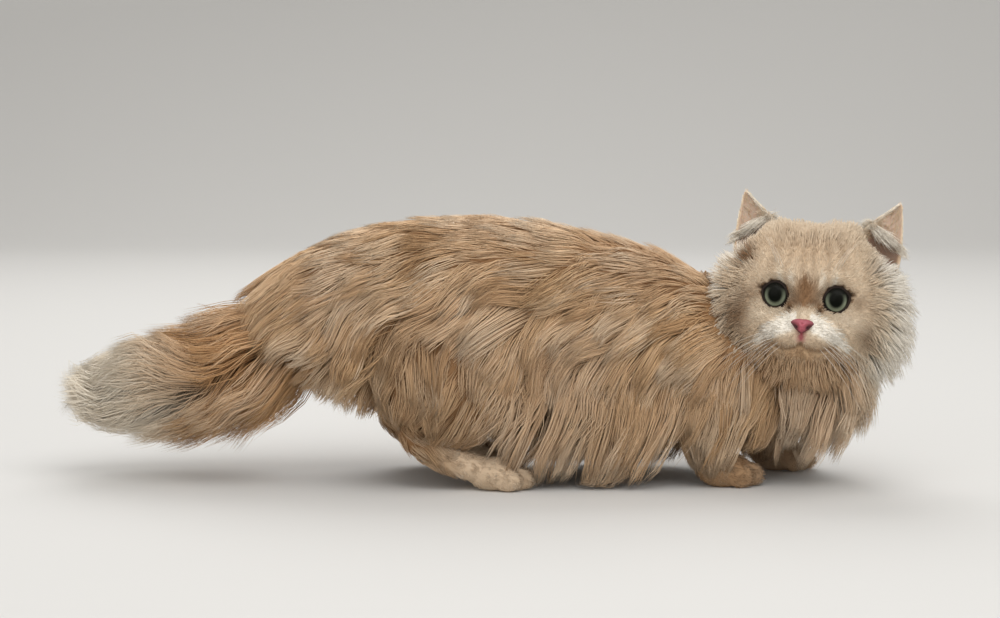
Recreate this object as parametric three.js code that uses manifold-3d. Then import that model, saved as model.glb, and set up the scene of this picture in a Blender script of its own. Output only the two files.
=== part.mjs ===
// A longhaired munchkin kitten as a still, life-size model.
// It stands on its short legs, with its right side to -Y, and looks back over its right shoulder.
// Millimetres, +X towards the chest, +Y to the animal's left, +Z up, with the floor at z = 0.
import * as THREE from "three";
import { mergeVertices } from "three/addons/utils/BufferGeometryUtils.js";
import Module from "manifold-3d";

const wasm = await Module();
wasm.setup();

// Shared sizes
const GAP = 0.3; // what touching pieces keep between them
const FOOTPRINT_MIDDLE = [-5.5, -5]; // middle of the model's box, from the middle of the back
const FLOOR_CLEARANCE = 4; // no hair hangs lower
const LEFT = new THREE.Vector3(0, 1, 0);
const FORWARD = new THREE.Vector3(1, 0, 0);
const UP = new THREE.Vector3(0, 0, 1);

// The torso under its locks: place along the back, heights of its top, widest level and bottom, half width
const TORSO = [
  { x: -140, top: 130, middle: 116, bottom: 102, half: 18 },
  { x: -122, top: 143, middle: 114, bottom: 88, half: 32 },
  { x: -101, top: 154, middle: 109, bottom: 70, half: 42 },
  { x: -76, top: 162, middle: 100, bottom: 55, half: 50 },
  { x: -44, top: 167.5, middle: 94, bottom: 45, half: 54 },
  { x: -5, top: 169.5, middle: 88, bottom: 38, half: 56 },
  { x: 39, top: 164.5, middle: 82, bottom: 34, half: 56 },
  { x: 71, top: 158, middle: 78, bottom: 31, half: 55 },
  { x: 103, top: 149.5, middle: 76, bottom: 30, half: 53 },
  { x: 139, top: 132, middle: 73, bottom: 32, half: 50 },
  { x: 172, top: 114, middle: 71, bottom: 36, half: 44 },
  { x: 204, top: 96, middle: 70, bottom: 44, half: 34 },
];

// The neck under its ruff, which turns towards the right, and the swell of the chest under the bib
const NECK = [
  { at: [136, 0, 90], wide: 38, high: 38, deep: 34 },
  { at: [166, 2, 90], wide: 40, high: 38, deep: 34 },
  { at: [192, 2, 90], wide: 41, high: 36, deep: 34 },
  { at: [214, -2, 88], wide: 38, high: 34, deep: 34 },
];
const CHEST = { at: [204, -8, 74], radii: [34, 38, 34] };

// The head, in its own frame: x to the nose, y to the left, z up, from the middle of the skull
const HEAD_AT = [199.5, -28.5, 117];
const HEAD_TURN = { yaw: -100.5, pitch: -6, roll: -4.3 }; // degrees
const SKULL = { front: 36, back: 42, side: 46, top: 47, bottom: 40, square: 2.25 };
const EYE = { forward: 21.5, aside: 17.8, up: 2.2, radius: 11, squint: 4 };
const EYE_OPENING = { wide: 17, high: 18.5, corner: 1.06 };
const LID = 1.3; // thickness of an eyelid
const NOSE = { at: [46.5, 0, -15], wide: 13.5, high: 9.5, deep: 7 };
const GROOVE = { wide: 1.6, deep: 2.4 }; // of the mouth
// Bearing and height of points on the skull, in degrees
const PHILTRUM = [
  [0, -23],
  [0, -27],
  [0, -31],
];
const MOUTH = [
  [0, -32.5],
  [9, -36],
  [18, -37],
  [28, -34],
];
const EAR = {
  forward: -20,
  aside: 38.5,
  up: 34,
  tall: 42,
  wide: 28,
  thick: 1.8,
  sunk: 8,
  lean: 26,
  turn: 20,
};

// Bumps and hollows of the face: bearing and height of each in degrees, how far it stands out, its spread
const FACE = [
  { name: "muzzle", bearing: 0, height: -27, out: 10.5, wide: 19, tall: 15 },
  { name: "whisker pad", bearing: 15, height: -31, out: 3.2, wide: 8, tall: 8 },
  { name: "chin", bearing: 0, height: -50, out: 6, wide: 14, tall: 11 },
  { name: "bridge of the nose", bearing: 0, height: -10, out: 4.5, wide: 9, tall: 11 },
  { name: "eye hollow", bearing: 31, height: 3, out: -3, wide: 12, tall: 11 },
  { name: "brow", bearing: 27, height: 24, out: 1.8, wide: 16, tall: 9 },
  { name: "cheek", bearing: 40, height: -22, out: 2, wide: 14, tall: 14 },
  { name: "jowl", bearing: 84, height: -20, out: 9, wide: 32, tall: 26 },
];

// Where each paw stands; the left forepaw is a step ahead
const FOREPAWS = { right: { x: 151, y: -28 }, left: { x: 192, y: 29 } };
const HINDPAWS = { right: { x: 6, y: -40 }, left: { x: -11, y: 40 } };
const FOREPAW = { long: 42, wide: 28, high: 21, turn: -4 };
const HINDPAW = { long: 42, wide: 29, high: 20, turn: 3 };

// The tail under its plume
const TAIL = [
  { at: [-98, 0, 120], wide: 24, high: 24, deep: 24 },
  { at: [-126, 2, 96], wide: 27, high: 28, deep: 28 },
  { at: [-152, 4, 80], wide: 27, high: 28, deep: 28 },
  { at: [-182, 7, 69], wide: 26, high: 27, deep: 26 },
  { at: [-212, 9, 63], wide: 23, high: 24, deep: 23 },
  { at: [-238, 10, 59], wide: 18, high: 19, deep: 18 },
  { at: [-254, 10, 57], wide: 12, high: 13, deep: 12 },
];

// Coats. Each row of locks runs along its limb at one angle from the top of it, on both sides.
// from, to: share of the limb's length; hang: how far a lock leaves the lie of the coat to hang down;
// back, down: the lie of the coat; tuck: how strongly the locks of the rump turn down
const TORSO_COAT = {
  seed: 11,
  rows: [
    { angle: 0, count: 6, from: 0.1, to: 0.88, hang: 0, long: 64, rise: 9 },
    { angle: 27, count: 6, from: 0.08, to: 0.88, hang: 0, long: 66, rise: 10 },
    { angle: 53, count: 6, from: 0.06, to: 0.9, hang: 0.05, long: 66, rise: 11 },
    { angle: 79, count: 6, from: 0.08, to: 0.92, hang: 0.1, long: 66, rise: 11 },
    { angle: 104, count: 7, from: 0.13, to: 0.94, hang: 0.35, long: 58, rise: 10 },
    { angle: 128, count: 7, from: 0.24, to: 0.95, hang: 0.8, long: 56, rise: 6 },
  ],
  wide: 42,
  thick: 3.8,
  bends: 3,
  back: 1,
  down: 1.3,
  hugs: true,
  tuck: 1,
};
const TAIL_COAT = {
  seed: 23,
  rows: [
    { angle: 0, count: 4, from: 0.06, to: 0.8, hang: 0, long: 46, rise: 15 },
    { angle: 55, count: 4, from: 0.04, to: 0.76, hang: 0, long: 46, rise: 15 },
    { angle: 110, count: 4, from: 0.1, to: 0.8, hang: 0.05, long: 46, rise: 15 },
    { angle: 165, count: 3, from: 0.16, to: 0.76, hang: 0.05, long: 44, rise: 14 },
  ],
  wide: 32,
  thick: 4.4,
  back: -1,
  down: 0.1,
};
const RUFF = {
  seed: 37,
  rows: [
    { angle: 40, count: 1, from: 0.3, to: 0.7, hang: 0, long: 40, rise: 8 },
    { angle: 75, count: 2, from: 0.35, to: 0.8, hang: 0.2, long: 44, rise: 9 },
    { angle: 110, count: 1, from: 0.4, to: 0.8, hang: 0.5, long: 42, rise: 9 },
  ],
  wide: 34,
  thick: 3.6,
  back: 1,
  down: 1,
  hugs: true,
};
const THIGH_COAT = {
  seed: 41,
  rows: [
    { angle: 25, count: 1, from: 0.3, to: 0.8, hang: 0.2, long: 40, rise: 6 },
    { angle: 85, count: 2, from: 0.35, to: 0.85, hang: 0.1, long: 42, rise: 7 },
    { angle: 150, count: 2, from: 0.3, to: 0.9, hang: 0.1, long: 40, rise: 8 },
  ],
  wide: 31,
  thick: 3.6,
  back: -1,
  down: 0.4,
  hugs: true,
};
const FORELEG_COAT = {
  seed: 43,
  rows: [
    { angle: 30, count: 1, from: 0.2, to: 0.7, hang: 0.3, long: 32, rise: 5 },
    { angle: 85, count: 1, from: 0.1, to: 0.6, hang: 0.3, long: 36, rise: 5 },
    { angle: 140, count: 1, from: 0.2, to: 0.8, hang: 0.3, long: 32, rise: 5 },
  ],
  wide: 28,
  thick: 3.6,
  back: -1,
  down: 0,
};
const BIB = { seed: 53, tiers: [72, 98, 124], counts: [3, 4, 3], long: 38, wide: 30, thick: 3.4, rise: 6 };
const CHEEKS = { seed: 67, tiers: [64, 94], counts: [3, 3], long: 30, wide: 25, thick: 3.2, rise: 5 };

const radians = THREE.MathUtils.degToRad;

// Repeatable draws between two values
function drawsFrom(seed) {
  let state = seed;
  return (low, high) => {
    state = (state + 0x6d2b79f5) | 0;
    let t = Math.imul(state ^ (state >>> 15), 1 | state);
    t = (t + Math.imul(t ^ (t >>> 7), 61 | t)) ^ t;
    return low + ((high - low) * ((t ^ (t >>> 14)) >>> 0)) / 4294967296;
  };
}

// Turns a closed three.js geometry into a solid, after a function has moved its vertices.
function solid(geometry, move = (point) => point) {
  const bare = new THREE.BufferGeometry();
  bare.setAttribute("position", geometry.getAttribute("position").clone());
  bare.setIndex(geometry.getIndex());
  const position = bare.getAttribute("position");
  for (let i = 0; i < position.count; i++) {
    const moved = move(new THREE.Vector3().fromBufferAttribute(position, i));
    position.setXYZ(i, moved.x, moved.y, moved.z);
  }
  const merged = mergeVertices(bare, 1e-3);
  const vertProperties = merged.attributes.position.array;
  const triVerts = new Uint32Array(merged.index.array);
  const shape = new wasm.Manifold(new wasm.Mesh({ numProp: 3, vertProperties, triVerts }));
  // A move that mirrors leaves the faces pointing inwards, so they are turned round
  return shape.volume() > 0
    ? shape
    : new wasm.Manifold(new wasm.Mesh({ numProp: 3, vertProperties, triVerts: triVerts.reverse() }));
}

function geometryOf(shape) {
  const { numProp, vertProperties, triVerts, numVert } = shape.getMesh();
  const places = new Float32Array(numVert * 3);
  for (let i = 0; i < numVert; i++) {
    places.set(vertProperties.subarray(i * numProp, i * numProp + 3), i * 3);
  }
  const geometry = new THREE.BufferGeometry();
  geometry.setAttribute("position", new THREE.BufferAttribute(places, 3));
  geometry.setIndex(new THREE.BufferAttribute(triVerts, 1));
  return geometry;
}

const joined = (shapes) => shapes.reduce((whole, shape) => whole.add(shape));
const without = (shape, cutters) => cutters.reduce((rest, cutter) => rest.subtract(cutter), shape);

// The largest closed surface of a shape, which leaves out scraps and sealed hollows.
function largest(shape) {
  return shape.decompose().reduce((most, piece) => (piece.volume() > most.volume() ? piece : most));
}

// A vertex of the unit sphere as a share of the way from pole to pole and an angle round the axis.
function onSphere(point) {
  const polar = Math.acos(THREE.MathUtils.clamp(point.y, -1, 1));
  return { share: (1 - Math.cos(polar)) / 2, polar, angle: Math.atan2(point.z, point.x) };
}

// A smooth, round-ended piece of the body along a curve.
// Its sections stand square to the curve, or face one way.
class Limb {
  constructor(stations, { facing, level = false, around = 20, along = 14, blunt = 0.2 } = {}) {
    this.centre = new THREE.CatmullRomCurve3(stations.map((s) => new THREE.Vector3(...s.at)));
    this.radii = new THREE.CatmullRomCurve3(
      stations.map((s) => new THREE.Vector3(s.wide, s.high, s.deep)),
    );
    Object.assign(this, { facing, level, around, along, blunt });
  }
  frame(share) {
    const ahead = this.facing?.clone() ?? this.centre.getTangent(share);
    const across = LEFT.clone().addScaledVector(ahead, -LEFT.dot(ahead)).normalize();
    const above = new THREE.Vector3().crossVectors(ahead, across);
    if (this.level) {
      above.copy(UP).addScaledVector(ahead, -UP.dot(ahead)).normalize();
      across.crossVectors(above, ahead);
    }
    return { ahead, across, above };
  }
  surface(share, angle, grow = 0) {
    const { ahead, across, above } = this.frame(share);
    const fromEnd = Math.min(1, Math.min(share, 1 - share) / this.blunt);
    const closing = Math.sqrt(Math.max(0, 1 - (1 - fromEnd) ** 2));
    const radii = this.radii.getPoint(share);
    const vertical = Math.sin(angle) > 0 ? radii.y : radii.z;
    return this.centre
      .getPoint(share)
      .addScaledVector(across, (radii.x + grow) * closing * Math.cos(angle))
      .addScaledVector(above, (vertical + grow) * closing * Math.sin(angle))
      .addScaledVector(ahead, Math.sign(share - 0.5) * grow * (1 - closing));
  }
  normal(share, angle) {
    const step = 0.01;
    const alongIt = this.surface(share + step, angle).sub(this.surface(share - step, angle));
    const roundIt = this.surface(share, angle + step).sub(this.surface(share, angle - step));
    const out = alongIt.cross(roundIt).normalize();
    return out.dot(this.surface(share, angle).sub(this.centre.getPoint(share))) < 0 ? out.negate() : out;
  }
  // The point of the surface under a point that stands off it
  below(point) {
    const shares = Array.from({ length: 41 }, (_, i) => i / 40);
    const distance = (share) => this.centre.getPoint(share).distanceTo(point);
    const share = shares.reduce((best, one) => (distance(one) < distance(best) ? one : best));
    const { across, above } = this.frame(share);
    const out = point.clone().sub(this.centre.getPoint(share));
    const radii = this.radii.getPoint(share);
    const upward = out.dot(above);
    const vertical = upward > 0 ? radii.y : radii.z;
    return this.surface(share, Math.atan2(upward / vertical, out.dot(across) / radii.x));
  }
  solid(grow = 0) {
    return solid(new THREE.SphereGeometry(1, this.around, this.along), (point) => {
      const { share, angle } = onSphere(point);
      return this.surface(share, angle, grow);
    });
  }
}

// A ball stretched to three radii.
function ball({ at, radii }, grow = 0, around = 14, along = 10) {
  return solid(new THREE.SphereGeometry(1, around, along), (point) =>
    point.multiply(new THREE.Vector3(...radii).addScalar(grow)).add(new THREE.Vector3(...at)),
  );
}

// One lock of hair: a flat, ridged blade that leaves the skin at its root, bends over and tapers to its tip.
// lie is where the coat runs to, hang (0 to 1) lets the tip fall, sway carries it aside,
// over is the limb that it hugs, and bends is how many lengths it is made of.
function lock(drawn, grow = 0) {
  const { root, normal, lie, long, wide, thick, rise, hang = 0, sway = 0, over, bends = 2 } = drawn;
  const flow = lie.clone().addScaledVector(normal, -lie.dot(normal)).normalize();
  const aside = new THREE.Vector3().crossVectors(normal, flow);
  const start = root.clone().addScaledVector(normal, -1.2 * thick).addScaledVector(flow, -thick);
  const bend = root.clone().addScaledVector(flow, 0.5 * long).addScaledVector(normal, 0.7 * rise);
  const tip = root
    .clone()
    .addScaledVector(flow, long * (1 - hang))
    .addScaledVector(UP, -long * hang)
    .addScaledVector(aside, sway);
  for (const [place, height] of over ? [[bend, 0.5], [tip, 1]] : []) {
    const drop = over.below(place).sub(place).dot(normal);
    place.addScaledVector(normal, drop * (1 - hang) * height);
  }
  tip.addScaledVector(normal, rise);
  tip.z = Math.max(tip.z, FLOOR_CLEARANCE + Math.abs(sway) * 0.3);
  const spine = new THREE.QuadraticBezierCurve3(start, bend, tip);
  const sides = 3;
  const lastLength = spine.getPoint(1).sub(spine.getPoint(1 - 1 / bends)).normalize();
  const blade = (grow) => solid(new THREE.ConeGeometry(1, 1, sides, bends), (p) => {
    const share = p.y + 0.5;
    const atTip = share > 0.999;
    const round = atTip ? 0 : Math.atan2(p.x, p.z);
    // The thin edges need more than the gap on each side to be clear above and below
    const half = ((wide / 2) * (0.7 + 0.9 * share) * (1 - share ** 1.7)) / 0.83 + 5 * grow;
    const height = (thick / 2) * (1 - 0.6 * share) + (atTip ? 0 : grow);
    const ahead = spine.getTangent(share);
    const across = new THREE.Vector3().crossVectors(normal, ahead).normalize();
    const out = new THREE.Vector3().crossVectors(ahead, across);
    return spine
      .getPoint(share)
      .addScaledVector(across, (half * Math.sin(round)) / Math.sin(Math.PI / 3))
      .addScaledVector(out, height * Math.cos(round))
      .addScaledVector(lastLength, atTip ? 5 * grow : 0);
  });
  return grow > 0 ? blade(grow).add(blade(0)) : blade(0);
}

// Locks in rows along a limb, from the same seed each time
function coatOf(limb, coat, grow = 0, onlySide = 0) {
  const draw = drawsFrom(coat.seed);
  const locks = [];
  for (const row of coat.rows) {
    for (const side of row.angle % 180 ? [-1, 1] : [1]) {
      for (let i = 0; i < row.count; i++) {
        const stagger = side * (row.angle % 2 ? 0.25 : -0.25);
        const along = (i + 0.5 + stagger + draw(-0.15, 0.15)) / row.count;
        const share = THREE.MathUtils.lerp(row.from, row.to, THREE.MathUtils.clamp(along, 0, 1));
        const angle = radians(90 - side * (row.angle + draw(-5, 5)));
        const normal = limb.normal(share, angle);
        const { ahead } = limb.frame(share);
        const rump = (coat.tuck ?? 0) * Math.max(0, 1 - share / 0.3);
        const lie = ahead
          .multiplyScalar(-coat.back)
          .addScaledVector(UP, -coat.down * (1 - normal.z) ** 1.2 - rump)
          .normalize();
        const drawn = {
          root: limb.surface(share, angle),
          normal,
          lie,
          long: row.long * draw(0.85, 1.15),
          wide: coat.wide * draw(0.85, 1.15),
          thick: coat.thick,
          rise: row.rise * draw(0.8, 1.15),
          hang: row.hang,
          over: coat.hugs ? limb : undefined,
          bends: coat.bends,
          sway: draw(-9, 9),
        };
        if (onlySide === 0 || side === onlySide || row.angle % 180 === 0) locks.push(lock(drawn, grow));
      }
    }
  }
  return locks;
}

// Parts of a coat that lie mostly inside the pieces that grow from its limb are left out.
function clearOf(locks, others) {
  const blocking = joined(others);
  return locks.filter((one) => one.intersect(blocking).volume() < 0.3 * one.volume());
}

const belowFloor = solid(new THREE.BoxGeometry(800, 400, 100), (p) => p.setZ(p.z - 50));

const torso = new Limb(
  TORSO.map(({ x, top, middle, bottom, half }) => ({
    at: [x, 0, middle],
    wide: half,
    high: top - middle,
    deep: middle - bottom,
  })),
  { facing: FORWARD, around: 20, along: 15, blunt: 0.1 },
);

const neck = new Limb(NECK, { level: true, around: 14, along: 7, blunt: 0.25 });

// The bib: locks that hang from the chest in tiers, from below the chin round to the sides
function bib(grow) {
  const draw = drawsFrom(BIB.seed);
  const { at, radii } = CHEST;
  const locks = [];
  BIB.tiers.forEach((polar, tier) => {
    const count = BIB.counts[tier];
    for (let i = 0; i < count; i++) {
      const round = radians(-130 + (200 * (i + 0.5 + draw(-0.2, 0.2))) / count);
      const ring = Math.sin(radians(polar));
      const direction = new THREE.Vector3(
        ring * Math.cos(round),
        ring * Math.sin(round),
        Math.cos(radians(polar)),
      );
      const stretched = new THREE.Vector3(...radii);
      const drawn = {
        root: direction.clone().multiply(stretched).add(new THREE.Vector3(...at)),
        normal: direction.clone().divide(stretched).normalize(),
        lie: new THREE.Vector3(0, 0, -1),
        long: BIB.long * draw(0.85, 1.15),
        wide: BIB.wide * draw(0.85, 1.15),
        thick: BIB.thick,
        rise: BIB.rise * draw(0.7, 1.2),
        hang: 0.45,
        sway: draw(-6, 6),
      };
      locks.push(lock(drawn, grow));
    }
  });
  return locks;
}

const neckWith = (grow) =>
  joined([neck.solid(grow), ball(CHEST, grow, 14, 9), ...coatOf(neck, RUFF, grow), ...bib(grow)]);

// The head's surface, as a distance from the middle of the skull in each direction
function headReach(direction) {
  const { front, back, side, top, bottom, square } = SKULL;
  const long = direction.x > 0 ? front : back;
  const tall = direction.z > 0 ? top : bottom;
  const shares = [direction.x / long, direction.y / side, direction.z / tall];
  const round = shares.reduce((sum, share) => sum + Math.abs(share) ** square, 0) ** (1 / square);
  const bearing = THREE.MathUtils.radToDeg(Math.abs(Math.atan2(direction.y, direction.x)));
  const height = THREE.MathUtils.radToDeg(Math.asin(THREE.MathUtils.clamp(direction.z, -1, 1)));
  const level = Math.sqrt(Math.max(0, 1 - direction.z ** 2));
  const bumps = FACE.map((bump) => {
    const aside = ((bearing - bump.bearing) * level) / bump.wide;
    const upward = (height - bump.height) / bump.tall;
    return bump.out * Math.exp(-0.5 * (aside ** 2 + upward ** 2));
  });
  return 1 / round + bumps.reduce((sum, out) => sum + out, 0);
}

function headDirection(bearing, height) {
  const flat = Math.cos(radians(height));
  const along = radians(bearing);
  return new THREE.Vector3(flat * Math.cos(along), flat * Math.sin(along), Math.sin(radians(height)));
}

const headMatrix = new THREE.Matrix4().compose(
  new THREE.Vector3(...HEAD_AT),
  new THREE.Quaternion().setFromEuler(
    new THREE.Euler(radians(HEAD_TURN.roll), radians(HEAD_TURN.pitch), radians(HEAD_TURN.yaw), "ZYX"),
  ),
  new THREE.Vector3(1, 1, 1),
);
const inHead = (point) => point.applyMatrix4(headMatrix);

function headCore(grow = 0) {
  const gather = 1.35; // draws the rings towards the face
  return solid(new THREE.SphereGeometry(1, 28, 22), (point) => {
    const { polar, angle } = onSphere(point);
    const turned = Math.PI * (polar / Math.PI) ** gather;
    const ring = Math.sin(turned);
    const direction = new THREE.Vector3(Math.cos(turned), ring * Math.sin(angle), ring * Math.cos(angle));
    return inHead(direction.multiplyScalar(headReach(direction) + grow));
  });
}

// Locks of the cheeks, which sweep back and down from the corners of the mouth
function cheekLocks(grow) {
  const draw = drawsFrom(CHEEKS.seed);
  const locks = [];
  CHEEKS.tiers.forEach((bearing, tier) => {
    const count = CHEEKS.counts[tier];
    for (let i = 0; i < count; i++) {
      for (const side of [-1, 1]) {
        const height = -48 + (66 * (i + 0.5 + draw(-0.15, 0.15))) / count;
        const direction = headDirection(side * (bearing + draw(-4, 4)), height);
        const lie = new THREE.Vector3(-0.75, side * 0.5, -0.55 + (0.5 * (height + 48)) / 66);
        const drawn = {
          root: inHead(direction.clone().multiplyScalar(headReach(direction))),
          normal: direction.transformDirection(headMatrix),
          lie: lie.transformDirection(headMatrix),
          long: CHEEKS.long * draw(0.85, 1.15),
          wide: CHEEKS.wide * draw(0.85, 1.15),
          thick: CHEEKS.thick,
          rise: CHEEKS.rise * draw(0.7, 1.2),
          hang: 0.12,
          sway: draw(-5, 5),
        };
        locks.push(lock(drawn, grow));
      }
    }
  });
  return locks;
}

const headWith = (grow) => joined([headCore(grow), ...cheekLocks(grow)]);

function eyeBall(side, grow = 0) {
  const { forward, aside, up, radius, squint } = EYE;
  return solid(new THREE.SphereGeometry(1, 13, 9), (point) => {
    // The cornea stands out on the pole that looks ahead
    const bulge = 1.2 * Math.exp(-(((1 - point.y) / 0.22) ** 2));
    const out = new THREE.Vector3(point.y, point.x, -point.z).multiplyScalar(radius + grow + bulge);
    out.applyAxisAngle(UP, radians(squint * side));
    return inHead(out.add(new THREE.Vector3(forward, aside * side, up)));
  });
}

function lidBall(side) {
  const { forward, aside, up, radius } = EYE;
  return solid(new THREE.SphereGeometry(radius + LID, 14, 9), (point) =>
    inHead(point.add(new THREE.Vector3(forward, aside * side, up))),
  );
}

// The almond between the lids, as a rod that runs forward out of the head
function eyeOpening(side) {
  const { wide, high, corner } = EYE_OPENING;
  const almond = new THREE.Shape();
  almond.moveTo((-wide / 2) * corner, -1.2);
  almond.bezierCurveTo(-wide / 2, high * 0.52, wide * 0.2, high * 0.68, (wide / 2) * corner, 1.2);
  almond.bezierCurveTo(wide / 2, -high * 0.55, -wide * 0.2, -high * 0.68, (-wide / 2) * corner, -1.2);
  const rod = new THREE.ExtrudeGeometry(almond, { depth: 30, bevelEnabled: false, curveSegments: 7 });
  const { forward, aside, up, squint } = EYE;
  return solid(rod, (p) => {
    // The shape's own x runs from the inner corner of the eye to the outer one
    const out = new THREE.Vector3(p.z, p.x * side, p.y).applyAxisAngle(UP, radians(squint * side));
    return inHead(out.add(new THREE.Vector3(forward, aside * side, up)));
  });
}

// A groove that follows the head's surface through points of bearing and height
function groove(points, wide, deep) {
  const path = new THREE.CatmullRomCurve3(
    points.map(([bearing, height]) => {
      const direction = headDirection(bearing, height);
      return direction.multiplyScalar(headReach(direction) + 0.4);
    }),
  );
  const steps = points.length * 2;
  return solid(new THREE.CylinderGeometry(1, 1, 1, 4, steps), (p) => {
    const share = 0.5 - p.y;
    const centre = path.getPoint(share);
    const ahead = path.getTangent(share);
    const outward = centre.clone().normalize();
    const across = new THREE.Vector3().crossVectors(outward, ahead).normalize();
    const narrowing = 0.45 + 0.55 * Math.sin(Math.PI * share);
    return inHead(
      centre
        .addScaledVector(across, (p.x * wide * narrowing) / 2)
        .addScaledVector(outward, p.z * deep * narrowing),
    );
  });
}

// The nose leather: broad above, narrow below
function noseLeather(grow = 0) {
  const { at, wide, high, deep } = NOSE;
  return solid(new THREE.SphereGeometry(1, 12, 7), (p) => {
    const broad = 0.3 + 0.7 * THREE.MathUtils.smoothstep(p.x, -1.1, 0.35);
    const square = 1 + 0.25 * (1 - p.y ** 2) * Math.abs(p.z * p.x);
    const rolled = 2.2 * Math.max(0, p.x) + 1.6 * p.z ** 2;
    return inHead(
      new THREE.Vector3(
        at[0] + p.y * (deep / 2 + grow) - rolled,
        at[1] + p.z * broad * square * (wide / 2 + grow),
        at[2] + p.x * square * (high / 2 + grow),
      ),
    );
  });
}

function nostril(side) {
  const { at, wide } = NOSE;
  return solid(new THREE.SphereGeometry(1, 6, 4), (p) => {
    const hook = 0.9 * p.y * p.y;
    return inHead(
      new THREE.Vector3(
        at[0] + 0.2 + p.z * 2.6,
        at[1] + side * (wide * 0.25 + p.x * 1.9 + hook),
        at[2] - 0.6 + p.y * 1.2 + p.x * 0.7,
      ),
    );
  });
}

// An ear as a bent sheet, hollow in front, from its root to its tip
function ear(side, grow = 0) {
  const { up, aside, forward, tall, wide, thick, sunk, lean, turn } = EAR;
  const columns = 7;
  const rows = 6;
  const sheet = new THREE.PlaneGeometry(2, 1, columns, rows);
  const flat = sheet.getAttribute("position");
  const skin = (x, y, layer) => {
    const height = y + 0.5; // 0 at the root, 1 at the tip
    const half = (wide / 2) * (1 - height ** 1.5) * (1 - 0.12 * height) + 1.2;
    const bend = 1.05 * x * (1 - 0.3 * height); // radians round the cup
    const cup = half * 1.12;
    const body = cup + layer * (thick / 2 + grow) * (1.25 - 0.5 * height);
    const place = new THREE.Vector3(
      cup * 0.9 - body * Math.cos(bend) - 7 * height * height + 3,
      -body * Math.sin(bend) * 1.06 - 1.5 * height,
      height * (tall + grow) - sunk,
    );
    // Turned so that the cup looks forward and outward, and leaning outward
    place.applyAxisAngle(FORWARD, radians(-lean));
    place.applyAxisAngle(UP, radians(turn));
    place.y *= side;
    return inHead(place.add(new THREE.Vector3(forward, aside * side, up)));
  };
  const places = [];
  for (const layer of [1, -1]) {
    for (let i = 0; i < flat.count; i++) {
      places.push(...skin(flat.getX(i), flat.getY(i), layer).toArray());
    }
  }
  const count = flat.count;
  const front = [...sheet.getIndex().array];
  const index = [...front];
  for (let i = 0; i < front.length; i += 3) {
    index.push(front[i] + count, front[i + 2] + count, front[i + 1] + count);
  }
  const rim = [];
  for (let i = 0; i < columns; i++) rim.push(i);
  for (let i = 0; i < rows; i++) rim.push(i * (columns + 1) + columns);
  for (let i = columns; i > 0; i--) rim.push(rows * (columns + 1) + i);
  for (let i = rows; i > 0; i--) rim.push(i * (columns + 1));
  rim.forEach((a, i) => {
    const b = rim[(i + 1) % rim.length];
    index.push(a, b, a + count, b, b + count, a + count);
  });
  const geometry = new THREE.BufferGeometry();
  geometry.setAttribute("position", new THREE.Float32BufferAttribute(places, 3));
  geometry.setIndex(index);
  return solid(geometry);
}

// A foot: its body and four toes, cut flat by the floor
function paw({ x, y }, { long, wide, high, turn }, side, grow = 0) {
  const pieces = [
    ball({ at: [0, 0, high * 0.46], radii: [long * 0.5, wide * 0.46, high * 0.54] }, grow, 10, 6),
  ];
  for (const toe of [-1.5, -0.5, 0.5, 1.5]) {
    const inner = Math.abs(toe) < 1;
    const at = [long * (inner ? 0.36 : 0.27), toe * wide * 0.235, high * 0.33];
    pieces.push(ball({ at, radii: [long * 0.2, wide * 0.15, high * 0.36] }, grow, 6, 4));
  }
  return joined(pieces).rotate([0, 0, side * turn]).translate([x, y, 0]);
}

function forelegLimb(side) {
  const { x, y } = side > 0 ? FOREPAWS.left : FOREPAWS.right;
  const stations = [
    { at: [x - 14, y + side * 6, 78], wide: 15, high: 22, deep: 20 },
    { at: [x - 18, y + side * 5, 56], wide: 16, high: 20, deep: 20 },
    { at: [x - 14, y + side * 2, 34], wide: 14, high: 15, deep: 16 },
    { at: [x - 9, y, 19], wide: 12, high: 12, deep: 12 },
    { at: [x - 7, y, 8], wide: 11, high: 11, deep: 11 },
  ];
  return new Limb(stations, { around: 12, along: 9, blunt: 0.22 });
}

function thighLimb(side) {
  const { x, y } = side > 0 ? HINDPAWS.left : HINDPAWS.right;
  const stations = [
    { at: [x - 70, y - side * 14, 126], wide: 13, high: 22, deep: 22 },
    { at: [x - 54, y - side * 7, 100], wide: 19, high: 36, deep: 34 },
    { at: [x - 36, y, 68], wide: 21, high: 38, deep: 36 },
    { at: [x - 28, y + side, 46], wide: 15, high: 28, deep: 30 },
    { at: [x - 30, y, 32], wide: 10, high: 15, deep: 17 },
  ];
  return new Limb(stations, { around: 12, along: 8, blunt: 0.22 });
}

function hock(side, grow = 0) {
  const { x, y } = side > 0 ? HINDPAWS.left : HINDPAWS.right;
  const stations = [
    { at: [x - 56, y, 42], wide: 10, high: 14, deep: 11 },
    { at: [x - 49, y, 24], wide: 11, high: 12, deep: 13 },
    { at: [x - 30, y, 16], wide: 12, high: 11, deep: 11 },
    { at: [x - 10, y, 11], wide: 12, high: 11, deep: 10 },
    { at: [x + 2, y, 10], wide: 11, high: 10, deep: 9 },
  ];
  return new Limb(stations, { around: 10, along: 8, blunt: 0.2 }).solid(grow);
}

const foreleg = (side, grow = 0) =>
  joined([forelegLimb(side).solid(grow), ...coatOf(forelegLimb(side), FORELEG_COAT, grow, side)]);
const forepaw = (side, grow = 0) => paw(side > 0 ? FOREPAWS.left : FOREPAWS.right, FOREPAW, side, grow);
const hindpaw = (side, grow = 0) => paw(side > 0 ? HINDPAWS.left : HINDPAWS.right, HINDPAW, side, grow);
const thigh = (side, grow = 0) =>
  joined([thighLimb(side).solid(grow), ...coatOf(thighLimb(side), THIGH_COAT, grow, side)]);

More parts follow.
